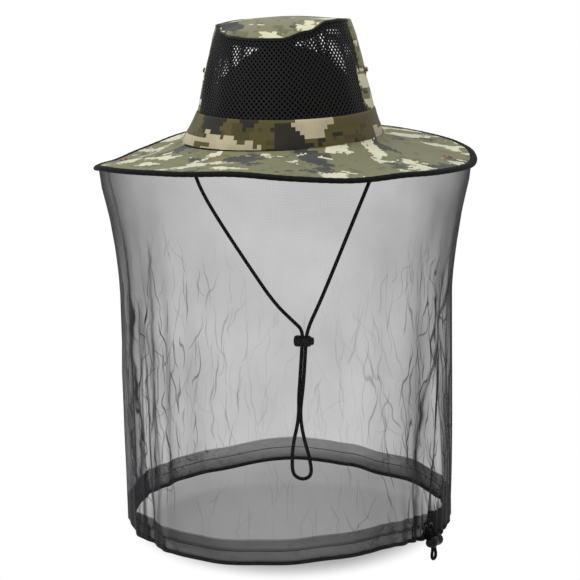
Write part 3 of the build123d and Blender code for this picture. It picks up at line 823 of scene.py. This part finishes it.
# Short strokes that taper at both ends, here and there in a slanting grid: fine creases.
strokes, strokes_in, strokes_out = start_group(
    "fine creases",
    [("Vector", "NodeSocketVector", None), ("Place", "NodeSocketVector", None),
     ("Turn", "NodeSocketVector", None), ("Cells", "NodeSocketVector", None),
     ("Width", "NodeSocketFloat", 0.05)], [("Mark", "NodeSocketFloat")])
laid_over = add_node(strokes, "ShaderNodeMapping",
                     {"Vector": strokes_in.outputs["Vector"],
                      "Location": strokes_in.outputs["Place"],
                      "Rotation": strokes_in.outputs["Turn"],
                      "Scale": strokes_in.outputs["Cells"]})
drift = add_node(strokes, "ShaderNodeTexNoise",
                 {"Vector": laid_over.outputs[0], "Scale": 0.9, "Detail": 2.0})
drifted = add_node(strokes, "ShaderNodeVectorMath",
                   {0: drift.outputs["Color"], 1: (1.1, 0.5, 0.0), 2: laid_over.outputs[0]},
                   operation="MULTIPLY_ADD")
cell = add_node(strokes, "ShaderNodeVectorMath", {0: drifted.outputs[0]}, operation="FLOOR")
chance = add_node(strokes, "ShaderNodeTexWhiteNoise", {"Vector": cell.outputs[0]})
within = add_node(strokes, "ShaderNodeVectorMath", {0: drifted.outputs[0]},
                  operation="FRACTION")
sides = add_node(strokes, "ShaderNodeSeparateXYZ", {0: within.outputs[0]})
aside = add_node(strokes, "ShaderNodeMapRange",
                 {"Value": chance.outputs["Value"], "To Min": 0.15, "To Max": 0.85})
off_line = reckon(strokes, "SUBTRACT", sides.outputs["X"], aside.outputs[0])
off_line = reckon(strokes, "ABSOLUTE", off_line)
to_end = reckon(strokes, "SUBTRACT", 1.0, sides.outputs["Y"])
tapered = reckon(strokes, "MULTIPLY", sides.outputs["Y"], to_end)
half_width = reckon(strokes, "MULTIPLY", reckon(strokes, "MULTIPLY", tapered, 4.0),
                    strokes_in.outputs["Width"])
inked = add_node(strokes, "ShaderNodeMapRange",
                 {"Value": off_line, "From Min": 0.0, "From Max": half_width, "To Min": 1.0,
                  "To Max": 0.0})
picked = add_node(strokes, "ShaderNodeSeparateColor", {0: chance.outputs["Color"]})
kept = add_node(strokes, "ShaderNodeMapRange",
                {"Value": picked.outputs[0], "From Min": 0.45, "From Max": 0.75})
strokes.links.new(reckon(strokes, "MULTIPLY", inked.outputs[0], kept.outputs[0]),
                  strokes_out.inputs["Mark"])
# Sets of strokes: slope, cells across and along, shift, width, and how dark they are.
STROKES = [(0.36, 34.0, 17.0, 0.3, 0.050, 0.42), (-0.42, 30.0, 15.0, 1.1, 0.045, 0.42),
           (0.62, 26.0, 19.0, 2.7, 0.035, 0.30), (-0.12, 44.0, 21.0, 1.9, 0.055, 0.36),
           (-0.75, 24.0, 20.0, 3.7, 0.030, 0.26), (0.14, 50.0, 26.0, 4.3, 0.060, 0.34)]


def net_cloth(name, shade, density, creases):
    """Fine netting: it hides more the more it is seen edge on, and where it lies in creases."""
    material, tree, shader = start_material(name, roughness=0.75, specular_ior_level=0.1)
    shader.inputs["Base Color"].default_value = shade
    place = add_node(tree, "ShaderNodeTexCoord")
    cloudy = add_node(tree, "ShaderNodeMapRange",
                      {"Value": clouds(tree, place.outputs["UV"], 11.0, 3.0), "From Min": 0.35,
                       "From Max": 0.7, "To Min": -0.03, "To Max": 0.05})
    wrinkled = add_node(tree, "ShaderNodeAttribute", attribute_name="wrinkle")
    total = reckon(tree, "ADD", cloudy.outputs[0], density)
    for slope, across, along, shift, wide, much in STROKES:
        fine = place_group(tree, strokes, {"Vector": place.outputs["UV"],
                                           "Place": (shift, shift, 0),
                                           "Turn": (0, 0, slope),
                                           "Cells": (across, along, 1.0), "Width": wide})
        shown_line = reckon(tree, "MULTIPLY", fine.outputs["Mark"], wrinkled.outputs["Fac"])
        shown_line = reckon(tree, "MULTIPLY", shown_line, much * creases)
        total = reckon(tree, "ADD", shown_line, total)
    threads = add_node(tree, "ShaderNodeTexVoronoi",
                       {"Vector": place.outputs["UV"], "Scale": 640.0, "Randomness": 0.0})
    dotted = add_node(tree, "ShaderNodeMapRange",
                      {"Value": threads.outputs["Distance"], "From Min": 0.2,
                       "From Max": 0.7, "To Min": -0.04, "To Max": 0.05})
    total = reckon(tree, "ADD", dotted.outputs[0], total)
    heavy = add_node(tree, "ShaderNodeAttribute", attribute_name="crease")
    total = reckon(tree, "MULTIPLY_ADD", heavy.outputs["Fac"], 0.55, total, use_clamp=True)
    # Seen at a slant, the same threads cover more of what lies behind them.
    slant = add_node(tree, "ShaderNodeLayerWeight", {"Blend": 0.5})
    facing = reckon(tree, "SUBTRACT", 1.0, slant.outputs["Facing"])
    power = reckon(tree, "DIVIDE", 1.0, reckon(tree, "MAXIMUM", facing, 0.14))
    open_part = reckon(tree, "SUBTRACT", 1.0, total)
    cover = reckon(tree, "SUBTRACT", 1.0, reckon(tree, "POWER", open_part, power),
                   use_clamp=True)
    tree.links.new(cover, shader.inputs["Alpha"])
    return material


# Sharp creases: middle at the top and at the foot, bend, width in degrees, depth, start.
CREASES = [(-146, -141, 1, 1.0, 1.30, 0.26), (-139, -136, 1, 0.7, 0.7, 0.42),
           (-153, -144, 1, 0.9, 0.8, 0.12), (158, 161, 1, 0.9, 0.6, 0.20),
           (168, 170, 1, 0.7, 0.45, 0.42), (28, -31, 2.4, 1.0, 1.20, 0.10),
           (-6, -22, 1, 0.8, 0.8, 0.50), (4, -8, 1, 0.9, 0.9, 0.42),
           (40, 14, 1, 0.9, 0.5, 0.35), (18, -4, 1, 0.7, 0.4, 0.55)]
# The bunch at the drawcord: its middle and width in degrees, and where it starts and is full.
BUNCH_AT, BUNCH_WIDTH, BUNCH_TOP, BUNCH_EASE = -14, 9.0, -0.354, 0.022
# The net laid flat: its radius along U, and the whole fall along V.
FLAT_RADIUS, FLAT_FALL = 0.175, 0.37


def mark_creases(sheet):
    """Keeps, at each vertex, how sharply the net is folded and how crumpled it is there."""
    marks = sheet.data.attributes.new("crease", "FLOAT", "POINT")
    crumpled = sheet.data.attributes.new("wrinkle", "FLOAT", "POINT")
    for vertex in sheet.data.vertices:
        turn = math.degrees(angle_of(vertex.co))
        low = clamp((-0.05 - vertex.co.z) / 0.3)
        depth = 0.0
        for middle, foot_middle, bend, wide, much, starts in CREASES:
            sway = 2.6 * noise.noise(Vector((middle, low * 7, 1)))
            sway += 1.2 * noise.noise(Vector((middle, low * 23, 2)))
            along = 1 - (1 - low) ** bend
            off = math.remainder(turn - middle - (foot_middle - middle) * along - sway, 360)
            broken = 0.75 + 1.0 * noise.noise(Vector((middle, low * 9, 3)))
            depth += (much * max(0.0, broken) * math.exp(-(off / wide) ** 2)
                      * clamp((low - starts) / 0.1))
        sides = clamp((abs(vertex.co.x) - 0.06) / 0.09)
        crumpled.data[vertex.index].value = (
            (0.25 + 1.1 * sides) * clamp((low - 0.30 + 0.14 * sides) / 0.28))
        # The net is bunched where the drawcord comes out, and folded over at the foot.
        near = math.remainder(turn - BUNCH_AT, 360)
        mass = math.exp(-(near / BUNCH_WIDTH) ** 2)
        mass *= clamp((BUNCH_TOP - vertex.co.z) / BUNCH_EASE)
        foot = vertex.co.z - hem_drop(math.radians(turn))
        edge = 1.4 * math.exp(-(foot / 0.0032) ** 2)
        marks.data[vertex.index].value = min(depth + 1.35 * mass + edge, 1.5)


def net_sheet(name, start, end, low, high, columns, rows, spot_of):
    """A panel of net between two angles and two shares of the fall."""
    bpy.ops.object.select_all(action="DESELECT")
    bpy.ops.mesh.primitive_grid_add(x_subdivisions=columns, y_subdivisions=rows, size=1)
    sheet = bpy.context.active_object
    while sheet.data.uv_layers:
        sheet.data.uv_layers.remove(sheet.data.uv_layers[0])
    flat = sheet.data.uv_layers.new(name="cloth")
    for loop in sheet.data.loops:
        point = sheet.data.vertices[loop.vertex_index].co
        turn = math.radians(start + (end - start) * (point.x + 0.5))
        share = low + (high - low) * (point.y + 0.5)
        flat.data[loop.index].uv = (turn * FLAT_RADIUS, share * FLAT_FALL)
    for vertex in sheet.data.vertices:
        turn = math.radians(start + (end - start) * (vertex.co.x + 0.5))
        vertex.co = spot_of(turn, low + (high - low) * (vertex.co.y + 0.5))
    name_piece(name, 80)
    mark_creases(sheet)
    return sheet


veil_net = net_cloth("black netting", tone(42, 42, 46), 0.265, 1.0)
for side, start in (("front", -180), ("back", 0)):
    veil = net_sheet(f"veil_{side}_net", start, start + 180, 0.0, 0.93, 420, 110, veil_spot)
    veil.data.materials.append(veil_net)
    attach(veil, "hat_and_veil")
    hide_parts(f"veil_net_{side}")


def doubled(turn, share):
    """The seam allowance stands a little way inside the veil."""
    spot = veil_spot(turn, share)
    spot.xy *= 1 - 0.0009 / spot.xy.length
    return spot


seam_net = net_cloth("net side seam", tone(34, 34, 36), 0.16, 0.3)
for side, middle in (("left", 180), ("right", 0)):
    veil_seam = net_sheet(f"veil_seam_{side}_net", middle - 1.3, middle + 1.3, 0.0, 0.93, 4,
                          120, doubled)
    veil_seam.data.materials.append(seam_net)
    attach(veil_seam, "hat_and_veil")
    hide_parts(f"veil_seam_{side}")

# ---------------------------------------------------------------------------------------------
# Hem. The net's foot is turned up into a channel with a raw edge above it; a black cord lies in
# the channel all the way round, and two small eyelets at the right let its ends come out, where
# the net is drawn up in gathers.
# ---------------------------------------------------------------------------------------------
# The turned-up leaf stands so high; the last of the veil's own foot is drawn with it.
HEM_HEIGHT, FOOT_DRAWN, CHANNEL_DEPTH = 0.027, 0.026, 0.0036


def hem_share(turn, height):
    """The share of the fall that lies this far above the foot."""
    top = rim_height(turn) - UNDER_BINDING
    return 1 - height / (top - hem_drop(turn))


hem_net = net_cloth("netting, doubled", tone(34, 34, 36), 0.47, 0.8)


def turned_up(turn, share):
    """The turned-up leaf: it starts as the veil's own foot and comes back up inside."""
    around = share * (HEM_HEIGHT + FOOT_DRAWN)
    height = abs(around - FOOT_DRAWN)
    inset = clamp((around - FOOT_DRAWN) / 0.002)
    spot = veil_spot(turn, hem_share(turn, height))
    channel = CHANNEL_DEPTH * (1 if height < 0.0145 else max(0.12, (0.0175 - height) / 0.003))
    spot.xy *= 1 - inset * channel / spot.xy.length
    return spot


hem_band = net_sheet("hem_band_net", -180, 180, 0.0, 1.0, 520, 36, turned_up)
bpy.context.view_layer.objects.active = hem_band
bpy.ops.object.mode_set(mode="EDIT")
bpy.ops.mesh.select_all(action="SELECT")
bpy.ops.mesh.remove_doubles(threshold=1e-6)
bpy.ops.object.mode_set(mode="OBJECT")
hem_band.data.materials.append(hem_net)
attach(hem_band, "hat_and_veil")
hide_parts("hem_band")

cord_black = woven("black braided cord", tone(9, 9, 9), tone(3, 3, 3), pitch=0.0011,
                   roughness=0.85, sheen=0.0, bump=0.9)
stitching = woven("black sewing thread", tone(30, 30, 31), tone(14, 14, 14), pitch=0.0004)


def round_hem(name, height, inset, thickness, points, swells=0.0):
    """A cord or a line of stitches that follows the hem all the way round."""
    bpy.ops.object.select_all(action="DESELECT")
    bpy.ops.mesh.primitive_torus_add(major_segments=points, minor_segments=8, major_radius=1,
                                     minor_radius=0.5)
    ring = bpy.context.active_object
    for vertex in ring.data.vertices:
        turn = angle_of(vertex.co)
        gathered = math.degrees(math.remainder(turn - math.radians(-17), 2 * math.pi)) / 11
        swell = thickness * (1 + swells * math.exp(-gathered ** 2))
        out, up = (vertex.co.xy.length - 1) * swell, vertex.co.z * swell
        line = veil_spot(turn, hem_share(turn, height))
        vertex.co = line + Vector((0, 0, up))
        vertex.co.xy *= 1 + (out - inset) / line.xy.length
    return name_piece(name, 60)


channel_cord = round_hem("hem_cord_ring", 0.0021, 0.0018, 0.0038, 400, swells=1.0)
channel_cord.data.materials.append(cord_black)
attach(channel_cord, "hat_and_veil")
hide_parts("hem_cord_in_channel")

hem_stitches = round_hem("hem_stitches", 0.0150, 0.0004, 0.0007, 400)
hem_stitches.data.materials.append(stitching)
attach(hem_stitches, "hat_and_veil")

eyelet_metal = mottled("black eyelet metal", tone(14, 14, 15), tone(52, 52, 54), 600.0,
                       metallic=0.6, roughness=0.35)
# The eyelets are so many millimetres out from the hat's axis.
EYELET_OUT = 167
EYELET_TURN, EYELET_HEIGHT = 4.5 / EYELET_OUT, -0.3774
for count, side in enumerate((-1, 1)):
    eyelet = spin_strip(f"hem_eyelet_{count + 1}", [
        (0.0022, -0.0009), (0.0027, -0.0012), (0.0031, -0.0009), (0.0028, -0.0004),
        (0.0028, 0.0004), (0.0036, 0.0007), (0.0038, 0.0010), (0.0032, 0.0014),
        (0.0025, 0.0012), (0.0022, 0.0006)], steps=40, smooth=50)
    turn = GATHER_AT + side * EYELET_TURN
    eyelet.data.transform(Matrix.Translation(at_turn(0.1672, turn, EYELET_HEIGHT))
                          @ Matrix.Rotation(turn, 4, "Z") @ Matrix.Rotation(math.pi / 2, 4, "Y"))
    eyelet.data.materials.append(eyelet_metal)
    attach(eyelet, "hat_and_veil")
    if count:
        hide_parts("hem_eyelets")

# ---------------------------------------------------------------------------------------------
# Drawcord tail. The hem cord's ends come out of the eyelets and go through a cord lock, below
# which they are joined in a short loop.
# ---------------------------------------------------------------------------------------------
TAIL_HALF = [(4.5, -3.6, 0), (4.3, 2.5, -0.3), (3.1, 6.3, -4.0), (2.05, 7.0, -10.1),
             (1.95, 7.1, -21.4), (3.6, 7.2, -25.2), (3.6, 7.2, -29.2), (1.49, 7.2, -31.3)]


def tail_spot(along, out, up):
    """Millimetres along the hem, out from the net and up, from between the eyelets."""
    turn = GATHER_AT
    return Vector(((EYELET_OUT + out) * math.cos(turn) - along * math.sin(turn),
                   (EYELET_OUT + out) * math.sin(turn) + along * math.cos(turn),
                   EYELET_HEIGHT * 1000 + up)) / 1000


def lay_cord(name, spots, diameter):
    """A curve with one spline through the spots, as thick as the cord."""
    bpy.ops.object.select_all(action="DESELECT")
    bpy.ops.curve.primitive_nurbs_path_add()
    cord = bpy.context.active_object
    cord.name = name
    cord.data.name = name
    cord.data.splines.clear()
    spline = cord.data.splines.new("NURBS")
    spline.points.add(len(spots) - 1)
    for point, spot in zip(spline.points, spots):
        point.co = (*spot, 1)
    spline.order_u = 3
    spline.use_endpoint_u = True
    spline.resolution_u = 12
    cord.data.dimensions = "3D"
    cord.data.bevel_depth = diameter / 2
    cord.data.bevel_resolution = 4
    cord.data.use_fill_caps = True
    return cord


tail_spots = [tail_spot(*spot) for spot in TAIL_HALF]
tail_spots += [tail_spot(-along, out, up) for along, out, up in reversed(TAIL_HALF)]
tail_cord = lay_cord("hem_drawcord_tail", tail_spots, 0.0032)
tail_cord.data.materials.append(cord_black)
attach(tail_cord, "hat_and_veil")
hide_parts("hem_cord_tail")

# ---------------------------------------------------------------------------------------------
# Cord locks. Each is a small barrel of glossy black plastic with a sprung button in its mouth;
# the strands pass through a hole across both, and the barrel is a little waisted there, to be
# gripped between finger and thumb.
# ---------------------------------------------------------------------------------------------
lock_plastic = mottled("black lock plastic", tone(4, 4, 4), tone(13, 13, 14), 160.0, 3.0,
                       gloss=(0.26, 0.44), specular_ior_level=0.12)
spring_steel = mottled("spring steel", tone(120, 120, 122), tone(185, 185, 188), 700.0,
                       metallic=1.0, roughness=0.3)


def cut_out(piece, cutter):
    """Cuts one closed shape out of a piece."""
    cut = piece.modifiers.new("cut", "BOOLEAN")
    cut.operation = "DIFFERENCE"
    cut.solver = "EXACT"
    cut.object = cutter
    bpy.context.view_layer.objects.active = piece
    bpy.ops.object.modifier_apply(modifier="cut")
    bpy.data.objects.remove(cutter, do_unlink=True)


BARREL_LENGTH, BUTTON_TRAVEL = 0.0175, 0.0021
hem_way = Matrix.Rotation(GATHER_AT, 4, "Z") @ Matrix.Rotation(math.pi / 2, 4, "X")
hem_lock_at = at_turn(0.17405, GATHER_AT, -0.3905)
chin_way = Matrix.Rotation(math.pi / 2, 4, "Y")
chin_lock_at = Vector((0.01785, 0, -0.2082))
for lock, button, at, way, strand in (
        ("chin_lock", "chin_button", chin_lock_at, chin_way, 0.0035),
        ("hem_lock", "hem_button", hem_lock_at, hem_way, 0.0032)):
    half_slot = strand + 0.0002 + 0.00075
    mouth = half_slot + 0.0026
    back = mouth - BARREL_LENGTH
    placed = Matrix.Translation(at) @ way
    body = spin_strip(f"{lock}_barrel", [
        (0.0042, mouth - 0.0004), (0.0045, mouth), (0.0051, mouth - 0.0005),
        (0.0056, mouth - 0.0015), (0.0060, mouth - 0.0032), (0.0059, mouth - 0.0052),
        (0.0054, mouth - 0.0072), (0.0053, mouth - 0.0088), (0.0055, mouth - 0.0104),
        (0.0059, back + 0.0052), (0.0060, back + 0.0036), (0.0057, back + 0.0018),
        (0.0050, back + 0.0006), (0.0040, back), (0.0, back), (0.0, back + 0.0009),
        (0.0042, back + 0.0009)], steps=64, smooth=50)
    plunger = spin_strip(f"{button}_plunger", [
        (0.0, -half_slot - 0.0014), (0.0040, -half_slot - 0.0014), (0.0040, mouth + 0.0014),
        (0.0036, mouth + 0.0024), (0.0028, mouth + 0.0029), (0.0, mouth + 0.0030)],
        steps=64, closed=False, smooth=40)
    # The button's hole is longer by its travel, so that it clears the strands when pressed.
    for piece, travel in ((body, 0.0), (plunger, BUTTON_TRAVEL)):
        bpy.ops.object.select_all(action="DESELECT")
        bpy.ops.mesh.primitive_cube_add(size=1)
        hole = bpy.context.active_object
        hole.data.transform(
            Matrix.Rotation(math.pi / 2 if lock == "hem_lock" else 0.0, 4, "Z")
            @ Matrix.Translation((0, 0, travel / 2))
            @ Matrix.Diagonal((0.03, strand + 0.0009, 2 * half_slot + travel, 1)))
        cut_out(piece, hole)
        piece.data.transform(placed)
        piece.data.materials.append(lock_plastic)
    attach(body, lock)
    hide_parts(f"{lock}_body")
    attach(plunger, button)
    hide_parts(f"{lock}_plunger")
    # A coil of three turns of wire pushes the button out from the barrel's floor.
    spring_foot, spring_head = back + 0.0012, -half_slot - 0.0017
    coil_spots = []
    for step in range(61):
        turn = 2 * math.pi * step / 20
        rise = spring_foot + 0.0003 + (spring_head - spring_foot - 0.0006) * step / 60
        coil_spots.append(at_turn(0.00275, turn, rise))
    spring = lay_cord(f"{lock}_spring_coil", coil_spots, 0.00045)
    spring.data.resolution_u = 3
    spring.data.bevel_resolution = 1
    spring.select_set(True)
    bpy.ops.object.convert(target="MESH")
    spring = name_piece(f"{lock}_spring_coil", 80)
    spring.data.transform(placed)
    spring.data.materials.append(spring_steel)
    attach(spring, lock)
    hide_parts(f"{lock}_spring")
    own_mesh(spring)

# ---------------------------------------------------------------------------------------------
# Chin cord. A black braided cord runs from a tab under the brim at one side down to its lock
# and back up to the other; a knot outside each tab keeps it there, and below the lock the rest
# hangs in a narrow loop.
# ---------------------------------------------------------------------------------------------
CHIN_ROUTE = [
    (-113, 0, -13), (-103.5, 0, -13), (-97.3, 0, -19.5), (-92.5, 0, -33), (-84.5, 0, -55),
    (-66, 0, -87), (-41, 0, -126), (-13, 0, -168.5), (7, 0, -188), (16.65, 0, -197),
    (15.15, 0, -217), (12.6, 0, -250), (11.2, -1.7, -267), (11.3, -2.2, -283),
    (8.9, -1.0, -299), (4.8, 0, -315), (2.8, 0, -331.5), (2.7, 0, -349.5), (8.8, 0, -355.4),
    (17.2, 0, -355.8), (23.3, 0, -349.9), (21.3, 0, -333), (16.4, 0, -315), (13.1, 1.0, -299),
    (12.0, 2.2, -283), (14.2, 1.7, -267), (16.5, 0, -250), (19.05, 0, -217),
    (20.55, 0, -197), (34.5, 0, -168), (52, 0, -126.5), (69.6, 0, -84), (83.5, 0, -51),
    (91.5, 0, -32), (97.3, 0, -19.5), (103.5, 0, -13), (113, 0, -13)]
chin_spots = [Vector(spot) / 1000 for spot in CHIN_ROUTE]
chin_cord = lay_cord("chin_cord_braid", chin_spots, 0.0038)
chin_cord.data.materials.append(cord_black)
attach(chin_cord, "chin_cord")
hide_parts("chin_cord")

TAB_OUT, KNOT_OUT, CORD_END = 0.108, 0.1130, -0.013
for side, sign in (("left", -1), ("right", 1)):
    # An overhand knot, drawn tight: a trefoil of the same cord pulled up round its end.
    turns = []
    for step in range(25):
        turn = 2 * math.pi * step / 24
        wide = 0.00110 + 0.00065 * math.cos(1.5 * turn)
        turns.append(Vector((sign * (KNOT_OUT + 0.00325 + 0.0017 * math.sin(1.5 * turn)),
                             wide * math.cos(turn), CORD_END + wide * math.sin(turn))))
    knot = lay_cord(f"chin_knot_{side}_turns", turns, 0.0031)
    knot.data.materials.append(cord_black)
    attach(knot, "chin_cord")
    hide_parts(f"chin_knot_{side}")

    # The tab is a loop of the brim's tape, sewn up into the lining.
    bpy.ops.object.select_all(action="DESELECT")
    bpy.ops.mesh.primitive_cube_add(size=1)
    tab = bpy.context.active_object
    bpy.ops.object.mode_set(mode="EDIT")
    bpy.ops.mesh.subdivide(number_cuts=9)
    bpy.ops.object.mode_set(mode="OBJECT")
    top = brim_height(0 if sign > 0 else math.pi, TAB_OUT) - 0.0016
    half = 0.0060
    for vertex in tab.data.vertices:
        share = vertex.co.z + 0.5
        across = vertex.co.y * 2 * half
        foot = -0.0190 + half - math.sqrt(max(half * half - across * across, 0.0))
        height = foot + (top - foot) * share
        bulge = 0.0004 * math.sin(math.pi * share)
        vertex.co = (sign * (TAB_OUT + bulge) + vertex.co.x * 0.0016, across, height)
    bpy.ops.object.select_all(action="DESELECT")
    bpy.ops.mesh.primitive_cylinder_add(vertices=32, radius=0.0022, depth=0.02)
    bore = bpy.context.active_object
    bore.data.transform(Matrix.Translation((sign * TAB_OUT, 0, CORD_END))
                        @ Matrix.Rotation(math.pi / 2, 4, "Y"))
    cut_out(tab, bore)
    name_piece(f"chin_tab_{side}_tape", 40)
    tab.data.materials.append(bias_tape)
    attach(tab, "hat_and_veil")
    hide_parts(f"chin_tab_{side}")

# ---------------------------------------------------------------------------------------------
# Stage, lights and camera. A white floor with a soft shade painted under the veil, two round
# softboxes overhead and in front, an even white surround, and a long lens a little above the
# crown.
# ---------------------------------------------------------------------------------------------
FLOOR_LEVEL = -0.4125


def seen_directly(tree):
    """The socket of 1 for what the camera, a gloss or a clear piece shows, and 0 for light."""
    path = add_node(tree, "ShaderNodeLightPath")
    shown = reckon(tree, "MAXIMUM", path.outputs["Is Camera Ray"], path.outputs["Is Glossy Ray"])
    return reckon(tree, "MAXIMUM", shown, path.outputs["Is Transmission Ray"])


bpy.ops.object.select_all(action="DESELECT")
bpy.ops.mesh.primitive_grid_add(x_subdivisions=24, y_subdivisions=24, size=40,
                                location=(0, 0, FLOOR_LEVEL))
floor = bpy.context.active_object
floor.name = "studio_floor"
paper, paper_tree, paper_shader = start_material("white paper floor, painted shade", roughness=1.0,
                                                 specular_ior_level=0.0)
paper_shader.inputs["Base Color"].default_value = (0.9, 0.9, 0.9, 1)
paper_place = add_node(paper_tree, "ShaderNodeTexCoord")
# The shade under the veil is painted: an oval of grey in the floor's glow, drawn out
# behind it.
oval = add_node(paper_tree, "ShaderNodeMapping",
                {"Vector": paper_place.outputs["Object"], "Location": (-0.014, 0.078, 0.0),
                 "Rotation": (0, 0, math.radians(10)), "Scale": (0.181, 0.226, 1.0)},
                vector_type="TEXTURE")
away = add_node(paper_tree, "ShaderNodeVectorMath", {0: oval.outputs[0]}, operation="LENGTH")
far = add_node(paper_tree, "ShaderNodeMapRange",
               {"Value": away.outputs["Value"], "From Min": 0.76, "From Max": 1.0},
               interpolation_type="SMOOTHSTEP")
# Painted shade: grey inside the oval and white outside, shown in the floor's glow.
painted_shade_colour = mix_colours(paper_tree, far.outputs["Result"], (0.42, 0.42, 0.42, 1), (1, 1, 1, 1))
most = add_node(paper_tree, "ShaderNodeMapRange",
                {"Value": far.outputs["Result"], "To Min": 0.72, "To Max": 1.0})
share = reckon(paper_tree, "MULTIPLY", seen_directly(paper_tree), most.outputs["Result"])
glow = add_node(paper_tree, "ShaderNodeEmission", {"Color": painted_shade_colour, "Strength": 1.0})
blended = add_node(paper_tree, "ShaderNodeMixShader",
                   {0: share, 1: paper_shader.outputs[0], 2: glow.outputs[0]})
# From below, the floor is left out.
from_below = add_node(paper_tree, "ShaderNodeNewGeometry")
clear = add_node(paper_tree, "ShaderNodeBsdfTransparent")
one_sided = add_node(paper_tree, "ShaderNodeMixShader",
                     {0: from_below.outputs["Backfacing"], 1: blended.outputs[0],
                      2: clear.outputs[0]})
paper_tree.links.new(one_sided.outputs[0],
                     paper_tree.nodes["Material Output"].inputs["Surface"])
floor.data.materials.append(paper)

world = bpy.data.worlds.new("studio")
bpy.context.scene.world = world
world.use_nodes = True
sky = world.node_tree
around = sky.nodes["Background"]
around.inputs["Color"].default_value = (1, 1, 1, 1)
around.inputs["Strength"].default_value = 0.55
behind = add_node(sky, "ShaderNodeBackground", {"Color": (1, 1, 1, 1), "Strength": 1.0})
both = add_node(sky, "ShaderNodeMixShader", {0: seen_directly(sky), 1: around.outputs[0],
                                             2: behind.outputs[0]})
sky.links.new(both.outputs[0], sky.nodes["World Output"].inputs["Surface"])

for name, place, size, power in (("overhead softbox", (-0.3, -0.5, 2.0), 1.6, 22.0),
                                 ("front softbox", (-1.6, -2.2, 1.2), 1.6, 22.0)):
    lamp = bpy.data.lights.new(name, "AREA")
    lamp.shape = "DISK"
    lamp.size = size
    lamp.energy = power
    stand = bpy.data.objects.new(name, lamp)
    bpy.context.scene.collection.objects.link(stand)
    stand.location = place
    aim = Vector((0, 0, -0.1)) - Vector(place)
    stand.rotation_euler = aim.to_track_quat("-Z", "Y").to_euler()

eye = bpy.data.cameras.new("camera")
eye.lens = 110.9
eye.sensor_width = 36.0
eye.shift_x = 0.0069
eye.clip_end = 100
camera = bpy.data.objects.new("camera", eye)
bpy.context.scene.collection.objects.link(camera)
bpy.context.scene.camera = camera
STAND_OFF, STAND_AT, LOOK_DOWN = 1.78, math.radians(10), math.radians(11.9)
camera.location = at_turn(STAND_OFF, STAND_AT - math.pi / 2, 0.22)
camera.rotation_euler = (Matrix.Rotation(STAND_AT, 3, "Z")
                         @ Matrix.Rotation(math.pi / 2 - LOOK_DOWN, 3, "X")
                         @ Matrix.Rotation(math.radians(-1.2), 3, "Z")).to_euler()
bpy.context.scene.view_settings.view_transform = "Standard"
